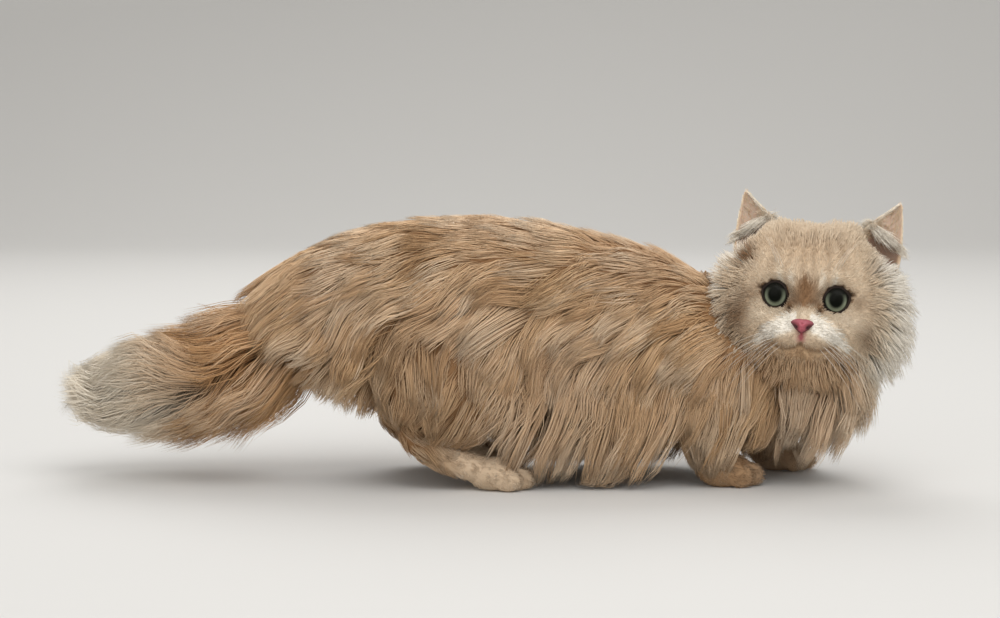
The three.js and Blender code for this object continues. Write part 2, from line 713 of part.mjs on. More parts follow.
const tail = new Limb(TAIL, { around: 14, along: 10, blunt: 0.24 });
const tailWith = (grow) => joined([tail.solid(grow), ...coatOf(tail, TAIL_COAT, grow)]);

// Assembly: each piece is cut by the pieces that grow from it
const looks = {
  coat: new THREE.MeshStandardMaterial({ color: 0xc79a6b, roughness: 0.9 }),
  pale: new THREE.MeshStandardMaterial({ color: 0xe6cfae, roughness: 0.9 }),
  eye: new THREE.MeshStandardMaterial({ color: 0x4a5a38, roughness: 0.1 }),
  nose: new THREE.MeshStandardMaterial({ color: 0xc96a6c, roughness: 0.5 }),
};
const cat = new THREE.Group();
cat.position.set(-FOOTPRINT_MIDDLE[0], -FOOTPRINT_MIDDLE[1], 0);
const head = new THREE.Group();
head.applyMatrix4(headMatrix);
cat.add(head);

function add(name, shape, look, group = cat) {
  const geometry = geometryOf(largest(shape.subtract(belowFloor)));
  if (group === head) geometry.applyMatrix4(headMatrix.clone().invert());
  const mesh = new THREE.Mesh(geometry, looks[look]);
  mesh.name = name;
  group.add(mesh);
}

const sides = { right: -1, left: 1 };
const both = (make, grow) => Object.values(sides).map((side) => make(side, grow));

function wholeHead() {
  const right = MOUTH.map(([bearing, height]) => [-bearing, height]);
  const mouth = [PHILTRUM, MOUTH, right].map((line) => groove(line, GROOVE.wide, GROOVE.deep));
  return without(joined([headWith(0), ...both(lidBall)]), [
    ...both(eyeBall, GAP),
    ...both(eyeOpening),
    ...both(ear, GAP),
    noseLeather(GAP),
    ...mouth,
  ]);
}

const beyondTorso = [
  neckWith(GAP),
  headWith(GAP),
  tailWith(GAP),
  ...both(thigh, GAP),
  ...both(foreleg, GAP),
  ...both(hock, GAP),
  ...both(forepaw, GAP),
  ...both(hindpaw, GAP),
];
const torsoLocks = clearOf(coatOf(torso, TORSO_COAT), beyondTorso);
add("torso", without(joined([torso.solid(), ...torsoLocks]), beyondTorso), "coat");
add("neck", without(neckWith(0), [headWith(GAP), ...both(foreleg, GAP), ...both(forepaw, GAP)]), "coat");
add("tail", tailWith(0), "coat");
add("head", wholeHead(), "coat", head);
add("nose", without(noseLeather(), both(nostril)), "nose", head);
for (const [name, side] of Object.entries(sides)) {
  add(`eye_${name}`, eyeBall(side), "eye", head);
  add(`ear_${name}`, ear(side), "pale", head);
  add(`foreleg_${name}`, foreleg(side).subtract(forepaw(side, GAP)), "coat");
  add(`forepaw_${name}`, forepaw(side), "pale");
  add(`thigh_${name}`, without(thigh(side), [tailWith(GAP), hock(side, GAP), hindpaw(side, GAP)]), "coat");
  add(`hock_${name}`, hock(side).subtract(hindpaw(side, GAP)), "coat");
  add(`hindpaw_${name}`, hindpaw(side), "pale");
}

export default cat;
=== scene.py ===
"""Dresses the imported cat: one skin, eyes, nose, ears, coat and whiskers, with a stage, light and a camera."""

import math
from dataclasses import dataclass
from types import SimpleNamespace

import bmesh
import bpy
import numpy as np
from mathutils import Matrix, Vector
from mathutils.kdtree import KDTree


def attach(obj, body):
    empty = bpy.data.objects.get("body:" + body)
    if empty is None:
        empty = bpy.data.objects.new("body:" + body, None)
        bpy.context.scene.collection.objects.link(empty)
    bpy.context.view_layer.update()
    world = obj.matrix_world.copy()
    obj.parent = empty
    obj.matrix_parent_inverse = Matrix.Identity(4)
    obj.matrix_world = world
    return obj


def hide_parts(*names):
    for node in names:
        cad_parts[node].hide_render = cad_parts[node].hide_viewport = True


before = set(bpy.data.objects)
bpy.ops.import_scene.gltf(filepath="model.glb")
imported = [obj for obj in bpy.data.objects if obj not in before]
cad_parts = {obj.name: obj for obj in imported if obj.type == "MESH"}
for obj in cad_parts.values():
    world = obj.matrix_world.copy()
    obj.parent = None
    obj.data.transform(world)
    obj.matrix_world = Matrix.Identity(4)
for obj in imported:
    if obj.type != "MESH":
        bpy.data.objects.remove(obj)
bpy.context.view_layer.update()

bl_info = {
    "name": "Longhaired munchkin cat",
    "version": (1, 0, 0),
    "blender": (4, 5, 0),
    "location": "3D View > Sidebar > Cat",
    "description": "Skin, face, coat and stage for a life-size longhaired cat",
    "category": "Add Mesh",
}

MM = 0.001
# Shapes are worked out in millimetres round the middle of the back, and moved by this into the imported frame
SHIFT = np.array([5.5, 5.0, 0.0])
FORWARD, LEFT, UP = np.eye(3)
BODY = "root"
SIDES = {"right": -1, "left": 1}

# Body forms under the coat. Torso: x, top, widest level, bottom, half width
TORSO = [
    (-140, 130, 116, 102, 18),
    (-122, 143, 114, 88, 32),
    (-101, 154, 109, 70, 42),
    (-76, 162, 100, 55, 50),
    (-44, 167.5, 94, 45, 54),
    (-5, 169.5, 88, 38, 56),
    (39, 164.5, 82, 34, 56),
    (71, 158, 78, 31, 55),
    (103, 149.5, 76, 30, 53),
    (139, 132, 73, 32, 50),
    (172, 114, 71, 36, 44),
    (204, 96, 70, 44, 34),
]
# Limbs: x, y, z, half width, height above and below the middle
NECK = [
    (136, 0, 90, 38, 38, 34),
    (166, 2, 90, 40, 38, 34),
    (192, 2, 90, 41, 36, 34),
    (214, -2, 88, 38, 34, 34),
]
CHEST = [(204, -8, 108, 20, 24, 24), (204, -8, 74, 36, 34, 34), (200, -6, 46, 18, 20, 20)]
TAIL = [
    (-98, 0, 120, 24, 24, 24),
    (-126, 2, 96, 27, 28, 28),
    (-152, 4, 80, 27, 28, 28),
    (-182, 7, 69, 26, 27, 26),
    (-212, 9, 63, 23, 24, 23),
    (-238, 10, 59, 18, 19, 18),
    (-254, 10, 57, 12, 13, 12),
]
# Feet: where each stands, and its length, width, height and turn outwards in degrees
FEET = {
    "forepaw": {"right": (151, -28), "left": (192, 29)},
    "hindpaw": {"right": (6, -40), "left": (-11, 40)},
}
PAW = {"forepaw": (42, 28, 21, -4), "hindpaw": (42, 29, 20, 3)}
# Shares of a foot's length, width and height along it
PAW_FORM = [(-0.4, 0.3, 0.66), (-0.1, 0.42, 0.84), (0.2, 0.44, 0.86), (0.42, 0.36, 0.62)]
# Toes from the inner one outwards: ahead as a share of the foot's length, aside as a share of its width
TOES = [(0.2, -0.33), (0.34, -0.12), (0.33, 0.13), (0.16, 0.34)]
# Legs: foot, how blunt the ends are, depth of the coat, and rows as above, but x and y from the foot
LEGS = {
    "foreleg": ("forepaw", 0.22, 1.5, [
        (-14, 6, 78, 15, 22, 20),
        (-18, 5, 56, 16, 20, 20),
        (-14, 2, 34, 14, 15, 16),
        (-9, 0, 19, 12, 12, 12),
        (-7, 0, 8, 11, 11, 11),
    ]),
    "thigh": ("hindpaw", 0.22, 2, [
        (-70, -14, 126, 13, 22, 22),
        (-54, -7, 100, 19, 36, 34),
        (-36, 0, 68, 21, 38, 36),
        (-28, 1, 46, 15, 28, 30),
        (-30, 0, 32, 10, 15, 17),
    ]),
    "hock": ("hindpaw", 0.2, 2, [
        (-57, 0, 47, 10, 14, 12),
        (-49, 0, 31, 10, 12, 12),
        (-32, 0, 20, 11, 11, 11),
        (-12, 0, 12, 12, 11, 10),
        (2, 0, 10, 11, 10, 9),
    ]),
}

# Head, in its own frame: x to the nose, y to the left, z up
HEAD_AT = np.array([199.5, -28.5, 117])
HEAD_TURN = {"Z": -100.5, "Y": -6, "X": -4.3}
SKULL = {"front": 36, "back": 42, "side": 46, "top": 47, "bottom": 40, "square": 2.25}
EYE = {"forward": 21.5, "aside": 17.8, "up": 2.2, "radius": 11.0, "squint": 4.0}
# Corners of an eye's opening, and the points that its edges bend towards: outwards, upwards
INNER_CORNER, OUTER_CORNER = np.array([[-8.0, -4.4], [8.7, 2.4]])
UPPER_LID = [(-8.8, 8.2), (2.5, 13.0)]
LOWER_LID = [(-4.5, -10.6), (8.0, -10.2)]
# Dark wings at the corners of an eye: place and spread
WINGS = [((-9.4, -7.6), 1.5), ((10.2, 4.0), 1.1)]
NOSE_AT = (46.5, 0, -15.5)
NOSE = {"wide": 14.2, "high": 8.4, "deep": 7.0}
# Bumps and hollows: bearing, height, how far out, spread across and up, in degrees
FACE = [
    (0, -27, 10.5, 19, 15),
    (15, -31, 3.2, 8, 8),
    (0, -50, 6, 14, 11),
    (0, -10, 4.5, 9, 11),
    (31, 3, -3, 12, 11),
    (27, 24, 1.8, 16, 9),
    (40, -22, 2, 14, 14),
    (84, -20, 9, 32, 26),
    (66, 46, 3.5, 17, 13),
    (87, 60, 4.5, 13, 8),
    (101, 39, -4.5, 11, 9),
    (68, 27, -3, 6, 6),
]
# Bearings and heights of the mouth's line
MOUTH = [0, 9, 18, 28], [-32.5, -36, -37, -34]
EAR = {"tall": 40.5, "wide": 26.5, "sunk": 9, "lean": 23, "turn": 7}
EAR_AT = {"forward": -13, "aside": 39.5, "shift": 3, "up": 37}
# Beside an ear: the painted shade in the fold below its outer edge, and the foot of its opening
EAR_FOLD_SHADE, EAR_FOLD_SHADE_SPREAD = (17, 39, 22), 4.5
EAR_FOOT, EAR_FOOT_SPREAD = (-1, 35, 38), 9

# Making the surface: sides of its voxels and rounds of smoothing, for the skin and for the finer feet
SKIN_FINENESS = 2.1, 6
FEET_FINENESS = 1.25, 3
SKIN_DEPTH = 1.2
CLEFT_DEPTH = 1.7
EAR_WALL = 1.7
RIM_THICKNESS = 0.85
# Widths of a strand's rings from root to tip, for strands with so many steps
STRAND_FORM = {3: (1.0, 0.8), 4: (0.8, 1.0, 0.7), 5: (0.8, 1.0, 0.85, 0.55)}
UV_PATCH = 0.003

# Tints for dark and pale hair: painted shade at the roots of the hairs, darker grain and patches on the skin,
# and painted shade on the skin below long hair
ROOT_SHADE_TINTS = (0.54, 0.43, 0.34), (0.88, 0.82, 0.74)
SKIN_TINTS = (0.60, 0.47, 0.36), (0.86, 0.81, 0.74)
UNDER_HAIR_SHADE_TINTS = (0.50, 0.42, 0.35), (0.78, 0.72, 0.64)
SNOW = (1.0, 0.97, 0.92)
# Colour of the painted shade that the upper lid casts on the top of an eye
LID_SHADE_BLACK = (0.01, 0.01, 0.008)

# Lamps: name, place, size, power
LAMPS = [
    ("key", (0.6, -0.8, 2.1), 2.2, 34),
    ("fill", (-0.9, -1.9, 0.9), 1.8, 8),
    ("rim", (-0.2, 1.3, 1.7), 1.6, 20),
]
LAMPS_AIM = Vector((0.02, 0.0, 0.09))
CAMERA = {"at": (7.4, 0.0, 109.0), "rise": 6, "away": 1.3, "lens": 73.1}


def unit(vectors):
    return vectors / np.maximum(np.linalg.norm(vectors, axis=-1, keepdims=True), 1e-9)


def bell(offset, spread):
    return np.exp(-0.5 * (offset / spread) ** 2)


def ramp(values, start, end):
    """0 before start, 1 after end, smooth between."""
    share = np.clip((values - start) / (end - start), 0, 1)
    return share * share * (3 - 2 * share)


def curve(stations, shares):
    """Points on a smooth curve through stations, at shares of its way."""
    rows = np.vstack([2 * stations[0] - stations[1], stations, 2 * stations[-1] - stations[-2]])
    place = np.clip(shares, 0, 1) * (len(stations) - 1)
    first = np.minimum(place.astype(int), len(stations) - 2)
    part = (place - first)[:, None]
    a, b, c, d = (rows[first + i] for i in range(4))
    before, between, after = (
        np.sqrt(np.maximum(np.linalg.norm(q - p, axis=1)[:, None], 1e-6)) for p, q in ((a, b), (b, c), (c, d))
    )
    out = ((b - a) / before - (c - a) / (before + between) + (c - b) / between) * between
    into = ((c - b) / between - (d - b) / (between + after) + (d - c) / after) * between
    return b + part * (out + part * (3 * (c - b) - 2 * out - into + part * (2 * (b - c) + out + into)))


class Limb:
    """A round-ended piece of the body along a curve."""

    def __init__(self, stations, facing=None, level=False, blunt=0.2, sunk=0.0):
        stations = np.array(stations, float)
        self.centres = stations[:, :3]
        self.radii = np.maximum(stations[:, 3:] - sunk, 3)
        self.facing, self.level, self.blunt = facing, level, blunt
        self.shares = np.linspace(0, 1, 161)
        self.samples = curve(self.centres, self.shares)

    def frame(self, share):
        if self.facing is None:
            ahead = unit(curve(self.centres, share + 0.004) - curve(self.centres, share - 0.004))
        else:
            ahead = np.broadcast_to(self.facing, (len(share), 3))
        across = unit(LEFT - ahead * (ahead @ LEFT)[:, None])
        above = np.cross(ahead, across)
        if self.level:
            above = unit(UP - ahead * (ahead @ UP)[:, None])
            across = np.cross(above, ahead)
        return ahead, across, above

    def surface(self, share, angle):
        _, across, above = self.frame(share)
        from_end = np.clip(np.minimum(share, 1 - share) / self.blunt, 0, 1)
        closing = np.sqrt(np.maximum(0, 1 - (1 - from_end) ** 2))
        radii = curve(self.radii, share)
        vertical = np.where(np.sin(angle) > 0, radii[:, 1], radii[:, 2])
        wide = (radii[:, 0] * closing * np.cos(angle))[:, None]
        high = (vertical * closing * np.sin(angle))[:, None]
        return curve(self.centres, share) + across * wide + above * high

    def normal(self, share, angle, step=0.01):
        along = self.surface(share + step, angle) - self.surface(share - step, angle)
        around = self.surface(share, angle + step) - self.surface(share, angle - step)
        return turned_out(np.cross(along, around), self.surface(share, angle) - curve(self.centres, share))

    def places(self, points):
        """Share and angle of the points of the surface that lie under points."""
        if self.facing is None:
            # The nearest samples are sought for some thousands of points at a time, to save memory
            share = np.concatenate([
                self.shares[((some[:, None] - self.samples[None]) ** 2).sum(axis=2).argmin(axis=1)]
                for some in np.array_split(points, len(points) // 4000 + 1)
            ])
        else:
            share = np.interp(points[:, 0], self.samples[:, 0], self.shares)
        share = np.clip(share, 0.015, 0.985)
        _, across, above = self.frame(share)
        out = points - curve(self.centres, share)
        radii = curve(self.radii, share)
        upward = (out * above).sum(axis=1)
        vertical = np.where(upward > 0, radii[:, 1], radii[:, 2])
        return share, np.arctan2(upward / vertical, (out * across).sum(axis=1) / radii[:, 0])

    def under(self, points):
        share, angle = self.places(points)
        return self.surface(share, angle), self.normal(share, angle)

    def spots(self, points):
        share, angle = self.places(points)
        return np.stack([share, (angle / math.tau) % 1.0], axis=1)


def turned_out(normals, outward):
    normals = unit(normals)
    inward = np.sum(normals * outward, axis=1) < 0
    return np.where(inward[:, None], -normals, normals)


def turned(axis, degrees):
    return np.array(Matrix.Rotation(math.radians(degrees), 3, axis))


HEAD_AXES = turned("Z", HEAD_TURN["Z"]) @ turned("Y", HEAD_TURN["Y"]) @ turned("X", HEAD_TURN["X"])


def from_head(points):
    return points @ HEAD_AXES.T + HEAD_AT


def to_head(points):
    return (points - HEAD_AT) @ HEAD_AXES


def head_angles(directions):
    bearing = np.degrees(np.arctan2(directions[:, 1], directions[:, 0]))
    return bearing, np.degrees(np.arcsin(np.clip(directions[:, 2], -1, 1)))


def face_angles(points):
    """Bearing of points from the head's middle, the same without its sign, and their height, in degrees."""
    bearing, height = head_angles(unit(to_head(points)))
    return bearing, np.abs(bearing), height


def head_direction(bearing, height):
    flat = np.cos(np.radians(height))
    along = np.radians(bearing)
    return np.stack([flat * np.cos(along), flat * np.sin(along), np.sin(np.radians(height))], axis=-1)


def head_reach(directions):
    """How far the head's surface is from the middle of the skull, without its lids."""
    long = np.where(directions[:, 0] > 0, SKULL["front"], SKULL["back"])
    tall = np.where(directions[:, 2] > 0, SKULL["top"], SKULL["bottom"])
    shares = np.abs(directions / np.stack([long, np.full_like(long, SKULL["side"]), tall], axis=1))
    reach = (shares ** SKULL["square"]).sum(axis=1) ** (-1 / SKULL["square"])
    bearing, height = head_angles(directions)
    level = np.sqrt(np.maximum(0, 1 - directions[:, 2] ** 2))
    for at, up, out, wide, tall in FACE:
        reach = reach + out * bell((np.abs(bearing) - at) * level, wide) * bell(height - up, tall)
    return reach


def mouth_height(off):
    return np.interp(off, *MOUTH)


def almond(steps=24):
    """The edge of an eye's opening, outwards and upwards of its middle, above and then below."""
    share = np.linspace(0, 1, steps)[:, None]
    rest = 1 - share
    upper, lower = (
        rest**3 * INNER_CORNER
        + (3 * rest**2 * share * np.array(first) + 3 * rest * share**2 * np.array(second))
        + share**3 * OUTER_CORNER
        for first, second in (UPPER_LID, LOWER_LID)
    )
    return np.concatenate([upper, lower[::-1][1:-1]])


def eye_axes(out):
    return turned("Z", EYE["squint"] * out)


def eye_centre(out):
    return np.array([EYE["forward"], EYE["aside"] * out, EYE["up"]])


def from_eye(local, out):
    """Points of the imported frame, from points ahead, aside and above of an eye's middle."""
    return to_frame(from_head(local @ eye_axes(out).T + eye_centre(out)))


def from_eye_edge(points, out):
    """How far points of the head are outside an eye's opening, and where they lie from its middle."""
    seen = (points - eye_centre(out)) @ eye_axes(out) * np.array([1, out, 1])
    ahead, aside, upward = seen.T
    loop = almond()
    bearings = np.arctan2(loop[:, 1], loop[:, 0])
    known = zip(*sorted(zip(bearings, np.linalg.norm(loop, axis=1))))
    edge = np.interp(np.arctan2(upward, aside), *known, period=math.tau)
    return np.where(ahead > 0, np.hypot(aside, upward) - edge, 99), seen


def off_eyes(points):
    """How far points of the skin are outside the nearer eye's opening."""
    return np.minimum(*(from_eye_edge(to_head(points), out)[0] for out in SIDES.values()))


def near_eye(points):
    """1 at the edge of an eye's opening, falling to 0 some millimetres off."""
    return ramp(-off_eyes(points), -7, -1)


def eye_line(points):
    """1 on the dark skin round the eyes."""
    found = np.zeros(len(points))
    for out in SIDES.values():
        off_edge, seen = from_eye_edge(to_head(points), out)
        wing = sum(bell(np.linalg.norm(seen[:, 1:] - np.array(at), axis=1), size) for at, size in WINGS)
        line = np.maximum(ramp(0.06 * seen[:, 2] - off_edge, -1.0, -0.2), wing)
        found = np.maximum(found, np.where(off_edge < 20, line, 0))
    return np.clip(found, 0, 1)


def beside_ear(points, place, spread):
    """1 at a place beside each ear, falling to 0 round it."""
    local = to_head(points)
    local[:, 1] = np.abs(local[:, 1] - EAR_AT["shift"])
    return bell(np.linalg.norm(local - np.array(place), axis=1), spread)


def reach_of_ball(directions, centre, radius):
    """How far along each direction a ball's far side is, or 0 where it isn't met."""
    near = directions @ centre
    square = near**2 - centre @ centre + radius**2
    return np.where(square > 0, near + np.sqrt(np.maximum(square, 0)), 0)


def face_reach(directions, sunk=0.0):
    """The skin of the head, with lids round open eyes, the mouth's line and the folds beside the nose."""
    reach = head_reach(directions) - sunk
    bearing, height = head_angles(directions)
    off = np.abs(bearing)
    pads = 2.6 * bell(off - 15, 8) * bell(height + 25.5, 5)
    reach = reach + pads - 1.6 * bell(off, 9) * bell(height + 18, 4.5)
    reach = reach - 2.2 * bell(height - mouth_height(off), 1.6) * ramp(-off, -29, -25)
    reach = reach - 1.2 * bell(bearing, 1.6) * ramp(-height, 21, 24) * ramp(height, -34, -31)
    reach = reach - 0.9 * bell(off - 22 - (height + 20) * 0.25, 3.5) * bell(height + 18, 8)
    for out in SIDES.values():
        centre = eye_centre(out)
        # The orbit slopes down to the ball like a funnel
        for _ in range(3):
            off_edge, seen = from_eye_edge(directions * reach[:, None], out)
            excess = seen[:, 0] - 7.2 - 1.15 * np.maximum(off_edge, 0)
            slope = 0.8 * np.log1p(np.exp(np.minimum(excess / 0.8, 30)))
            reach = reach - np.where(off_edge < 20, slope, 0)
        lid = reach_of_ball(directions, centre, EYE["radius"] + 0.9)
        blend = np.clip(0.5 + (lid - reach) / 3, 0, 1)
        lidded = reach + (lid - reach) * blend + 0.75 * blend * (1 - blend)
        reach = np.where(lid > 0, lidded, reach)
        off_edge, _ = from_eye_edge(directions * reach[:, None], out)
        hole = reach_of_ball(directions, centre, EYE["radius"] - 2.0)
        open_share = ramp(-off_edge, -0.2, 0.5) * (hole > 0)
        reach = reach * (1 - open_share) + hole * open_share
    return reach


class Head:
    """The head as a form that coats can lie along."""

    def under(self, points, step=0.02):
        direction = unit(to_head(points))
        side = unit(np.cross(direction, UP + 0.01))
        upward = np.cross(side, direction)

        def at(tilted):
            tilted = unit(tilted)
            return from_head(tilted * head_reach(tilted)[:, None])

        middle = at(direction)
        across = at(direction + step * side) - at(direction - step * side)
        along = at(direction + step * upward) - at(direction - step * upward)
        return middle, turned_out(np.cross(across, along), middle - HEAD_AT)

    def spots(self, points):
        bearing, _, height = face_angles(points)
        return np.stack([(bearing + 180) / 360, (height + 90) / 180], axis=1)


def paw_stations(kind, side):
    x, y = FEET[kind][side]
    long, wide, high, turn = PAW[kind]
    lean = math.radians(turn * SIDES[side])
    return [
        (x + long * share * math.cos(lean), y + long * share * math.sin(lean), high * 0.44,
         wide * half, high * tall * 0.62, high * 0.42)
        for share, half, tall in PAW_FORM
    ]


def body_forms():
    torso = [(x, 0, mid, half, top - mid, mid - low) for x, top, mid, low, half in TORSO]
    forms = {
        "torso": Limb(torso, FORWARD, blunt=0.1, sunk=3),
        "neck": Limb(NECK, level=True, blunt=0.25, sunk=3),
        "chest": Limb(CHEST, blunt=0.4, sunk=3),
        "tail": Limb(TAIL, blunt=0.24, sunk=8),
        "head": Head(),
    }
    for side, out in SIDES.items():
        for leg, (foot, blunt, sunk, stations) in LEGS.items():
            x, y = FEET[foot][side]
            rows = [(x + ahead, y + out * aside, *sizes) for ahead, aside, *sizes in stations]
            forms[f"{leg}_{side}"] = Limb(rows, blunt=blunt, sunk=sunk)
        for foot in FEET:
            forms[f"{foot}_{side}"] = Limb(paw_stations(foot, side), blunt=0.3)
    return forms


FORMS = body_forms()


# Making pieces


def to_frame(points):
    return (points + SHIFT) * MM


def from_frame(points):
    return points / MM - SHIFT


def read(items, name="co", kind=float):
    """Three numbers for each item of a mesh, one row an item."""
    flat = np.empty(len(items) * 3, kind)
    items.foreach_get(name, flat)
    return flat.reshape(-1, 3)


def place_vertices(mesh, points):
    mesh.vertices.foreach_set("co", np.asarray(points, float).ravel())
    mesh.update()


def mesh_from(name, build, **settings):
    """A mesh made by operators on a new bmesh."""
    bm = bmesh.new()
    build(bm, **settings)
    mesh = bpy.data.meshes.new(name)
    bm.to_mesh(mesh)
    bm.free()
    return mesh


def ball_mesh(name, around, along):
    return mesh_from(name, bmesh.ops.create_uvsphere, u_segments=around, v_segments=along, radius=1)


def moved_ball(name, around, along, move):
    mesh = ball_mesh(name, around, along)
    place_vertices(mesh, move(read(mesh.vertices)))
    return mesh


def limb_mesh(name, limb):
    def wrap(points):
        share = (1 - points[:, 2]) / 2
        return limb.surface(np.clip(share, 0, 1), np.arctan2(points[:, 1], points[:, 0]))

    return moved_ball(name, 64, 48, wrap)


def head_mesh(name, fineness, reach):
    mesh = mesh_from(name, bmesh.ops.create_icosphere, subdivisions=fineness, radius=1)
    directions = unit(read(mesh.vertices))
    place_vertices(mesh, from_head(directions * reach(directions)[:, None]))
    return mesh


def add_object(name, mesh, material=None):
    piece = bpy.data.objects.new(name, mesh)
    bpy.context.scene.collection.objects.link(piece)
    return dress(piece, material)


def dress(piece, material=None):
    """Gives a piece smooth faces, and a material if there is one."""
    if material:
        piece.data.materials.clear()
        piece.data.materials.append(material)
    piece.data.polygons.foreach_set("use_smooth", [True] * len(piece.data.polygons))
    return piece


def modify(piece, kind, **settings):
    """Adds a modifier to a piece."""
    modifier = piece.modifiers.new(kind.lower(), kind)
    for name, value in settings.items():
        setattr(modifier, name, value)


def evaluated_mesh(piece):
    return bpy.data.meshes.new_from_object(piece.evaluated_get(bpy.context.evaluated_depsgraph_get()))


def applied(piece):
    """Turns a piece's modifiers into its mesh."""
    mesh = evaluated_mesh(piece)
    piece.modifiers.clear()
    piece.data = mesh
    return piece


def finish_piece(piece, slot_name, *nodes):
    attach(piece, BODY)
    if nodes:
        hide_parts(*nodes)
    return piece


def write_attribute(mesh, name, values):
    layer = mesh.attributes.new(name, "FLOAT_VECTOR", "POINT")
    layer.data.foreach_set("vector", np.asarray(values, np.float32).ravel())


# Marking colours and painted shade, the same for skin and coat: how pale, how warm and how dark each place is


def markings(points, parts):
    """Shares of pale, warm and dark hair at points, given the part of the body that each is on. The dark share
    holds painted shade as well as dark marking.
    """
    x, y, z = points.T
    names, index = np.unique(parts, return_inverse=True)
    kinds = np.array([name.split("_")[0] for name in names])[index]
    cloud = np.sin(x / 21 + 1.7 * np.sin(z / 26 + 0.6)) * np.sin(z / 19 - x / 47 + 0.03 * y)
    low, tail_tip, to_paw = ramp(-z, -120, -35), ramp(-x, 158, 198), ramp(x, -45, -12)
    # Painted shade in the clefts between the toes, used for the dark share of the feet
    clefts = toe_clefts(points)
    pale = 0.18 + 0.12 * ramp(-z, -75, -25) + 0.13 * cloud
    warm = 0.4 + 0.22 * cloud + 0.15 * ramp(z, 60, 110) + 0.12 * low
    # The darker clouds on top are marking; the rest of the dark share is painted shade that grows towards the
    # floor
    dark = 0.14 * ramp(-cloud, 0.1, 0.7) * ramp(z, 95, 125) + 0.22 * low + 0.28 * ramp(-z, -52, -30)
    found = [pale, warm, dark]
    own = {
        "tail": (0.04 + 0.82 * tail_tip, 0.8 - 0.55 * tail_tip, 0.18 * bell(x + 165, 26)),
        # Neck and chest: painted shade on the top of the neck's right side, behind the head
        "chest neck": (0.42, 0.75, 0.22 * ramp(z, 88, 105) * ramp(-y, -2, 14)),
        "thigh foreleg": (0.12 + 0.12 * ramp(-z, -60, -20), warm, 0.34),
        "hock": (0.12 + 0.4 * to_paw, 0.45, 0.42 - 0.2 * to_paw),
        "hindpaw": (0.5, 0.2, 0.26 + 0.7 * clefts),
        # Forepaws: dark mostly as painted shade below the head and chest; the nearer, right forepaw is also
        # kept less pale as painted shade
        "forepaw": (0.14 + 0.26 * ramp(x, 158, 172), 0.45, 0.68 + 0.32 * clefts),
        "head": face_markings_and_shade(points),
    }
    for kind, values in own.items():
        here = np.isin(kinds, kind.split())
        found = [np.where(here, value, old) for value, old in zip(values, found)]
    return np.clip(np.stack(found, axis=1), 0, 1)


def foot_places(kind, side):
    """Where a foot stands, how it is turned, and the middles and half sizes of its toes."""
    long, wide, high, turn = PAW[kind]
    toes = [(np.array([long * a, wide * b * SIDES[side], high * 0.34])) for a, b in TOES]
    sizes = np.array([long * 0.2, wide * 0.145, high * 0.35])
    return np.array([*FEET[kind][side], 0.0]), turned("Z", turn * SIDES[side]), toes, sizes


def toe_clefts(points):
    """1 in the clefts between the toes of the feet, falling to 0 beside them."""
    found = np.zeros(len(points))
    for kind in PAW:
        for side in SIDES:
            at, turn, toes, sizes = foot_places(kind, side)
            local = (points - at) @ turn
            gaps = np.sort([np.linalg.norm((local - toe) / sizes, axis=1) for toe in toes], axis=0)
            found = np.maximum(found, bell(gaps[1] - gaps[0], 0.3) * ramp(-gaps[0], -1.9, -1.35))
    return found


def moustache(off, height):
    """Shares of the white pads that sweep out from the nose, and of the painted shade beneath them."""
    middle = np.interp(off, [6, 10, 22, 30, 40], [-16.5, -17.5, -22.5, -27, -34])
    spread = np.interp(off, [8, 22, 40], [4.3, 3.8, 2.2])
    reach = ramp(off, 3, 7) * ramp(-off, -46, -38)
    white = np.clip(2.4 * bell(height - middle, spread) * reach - 0.4, 0, 1)
    return white, bell(height - middle + 9, 3.4) * reach


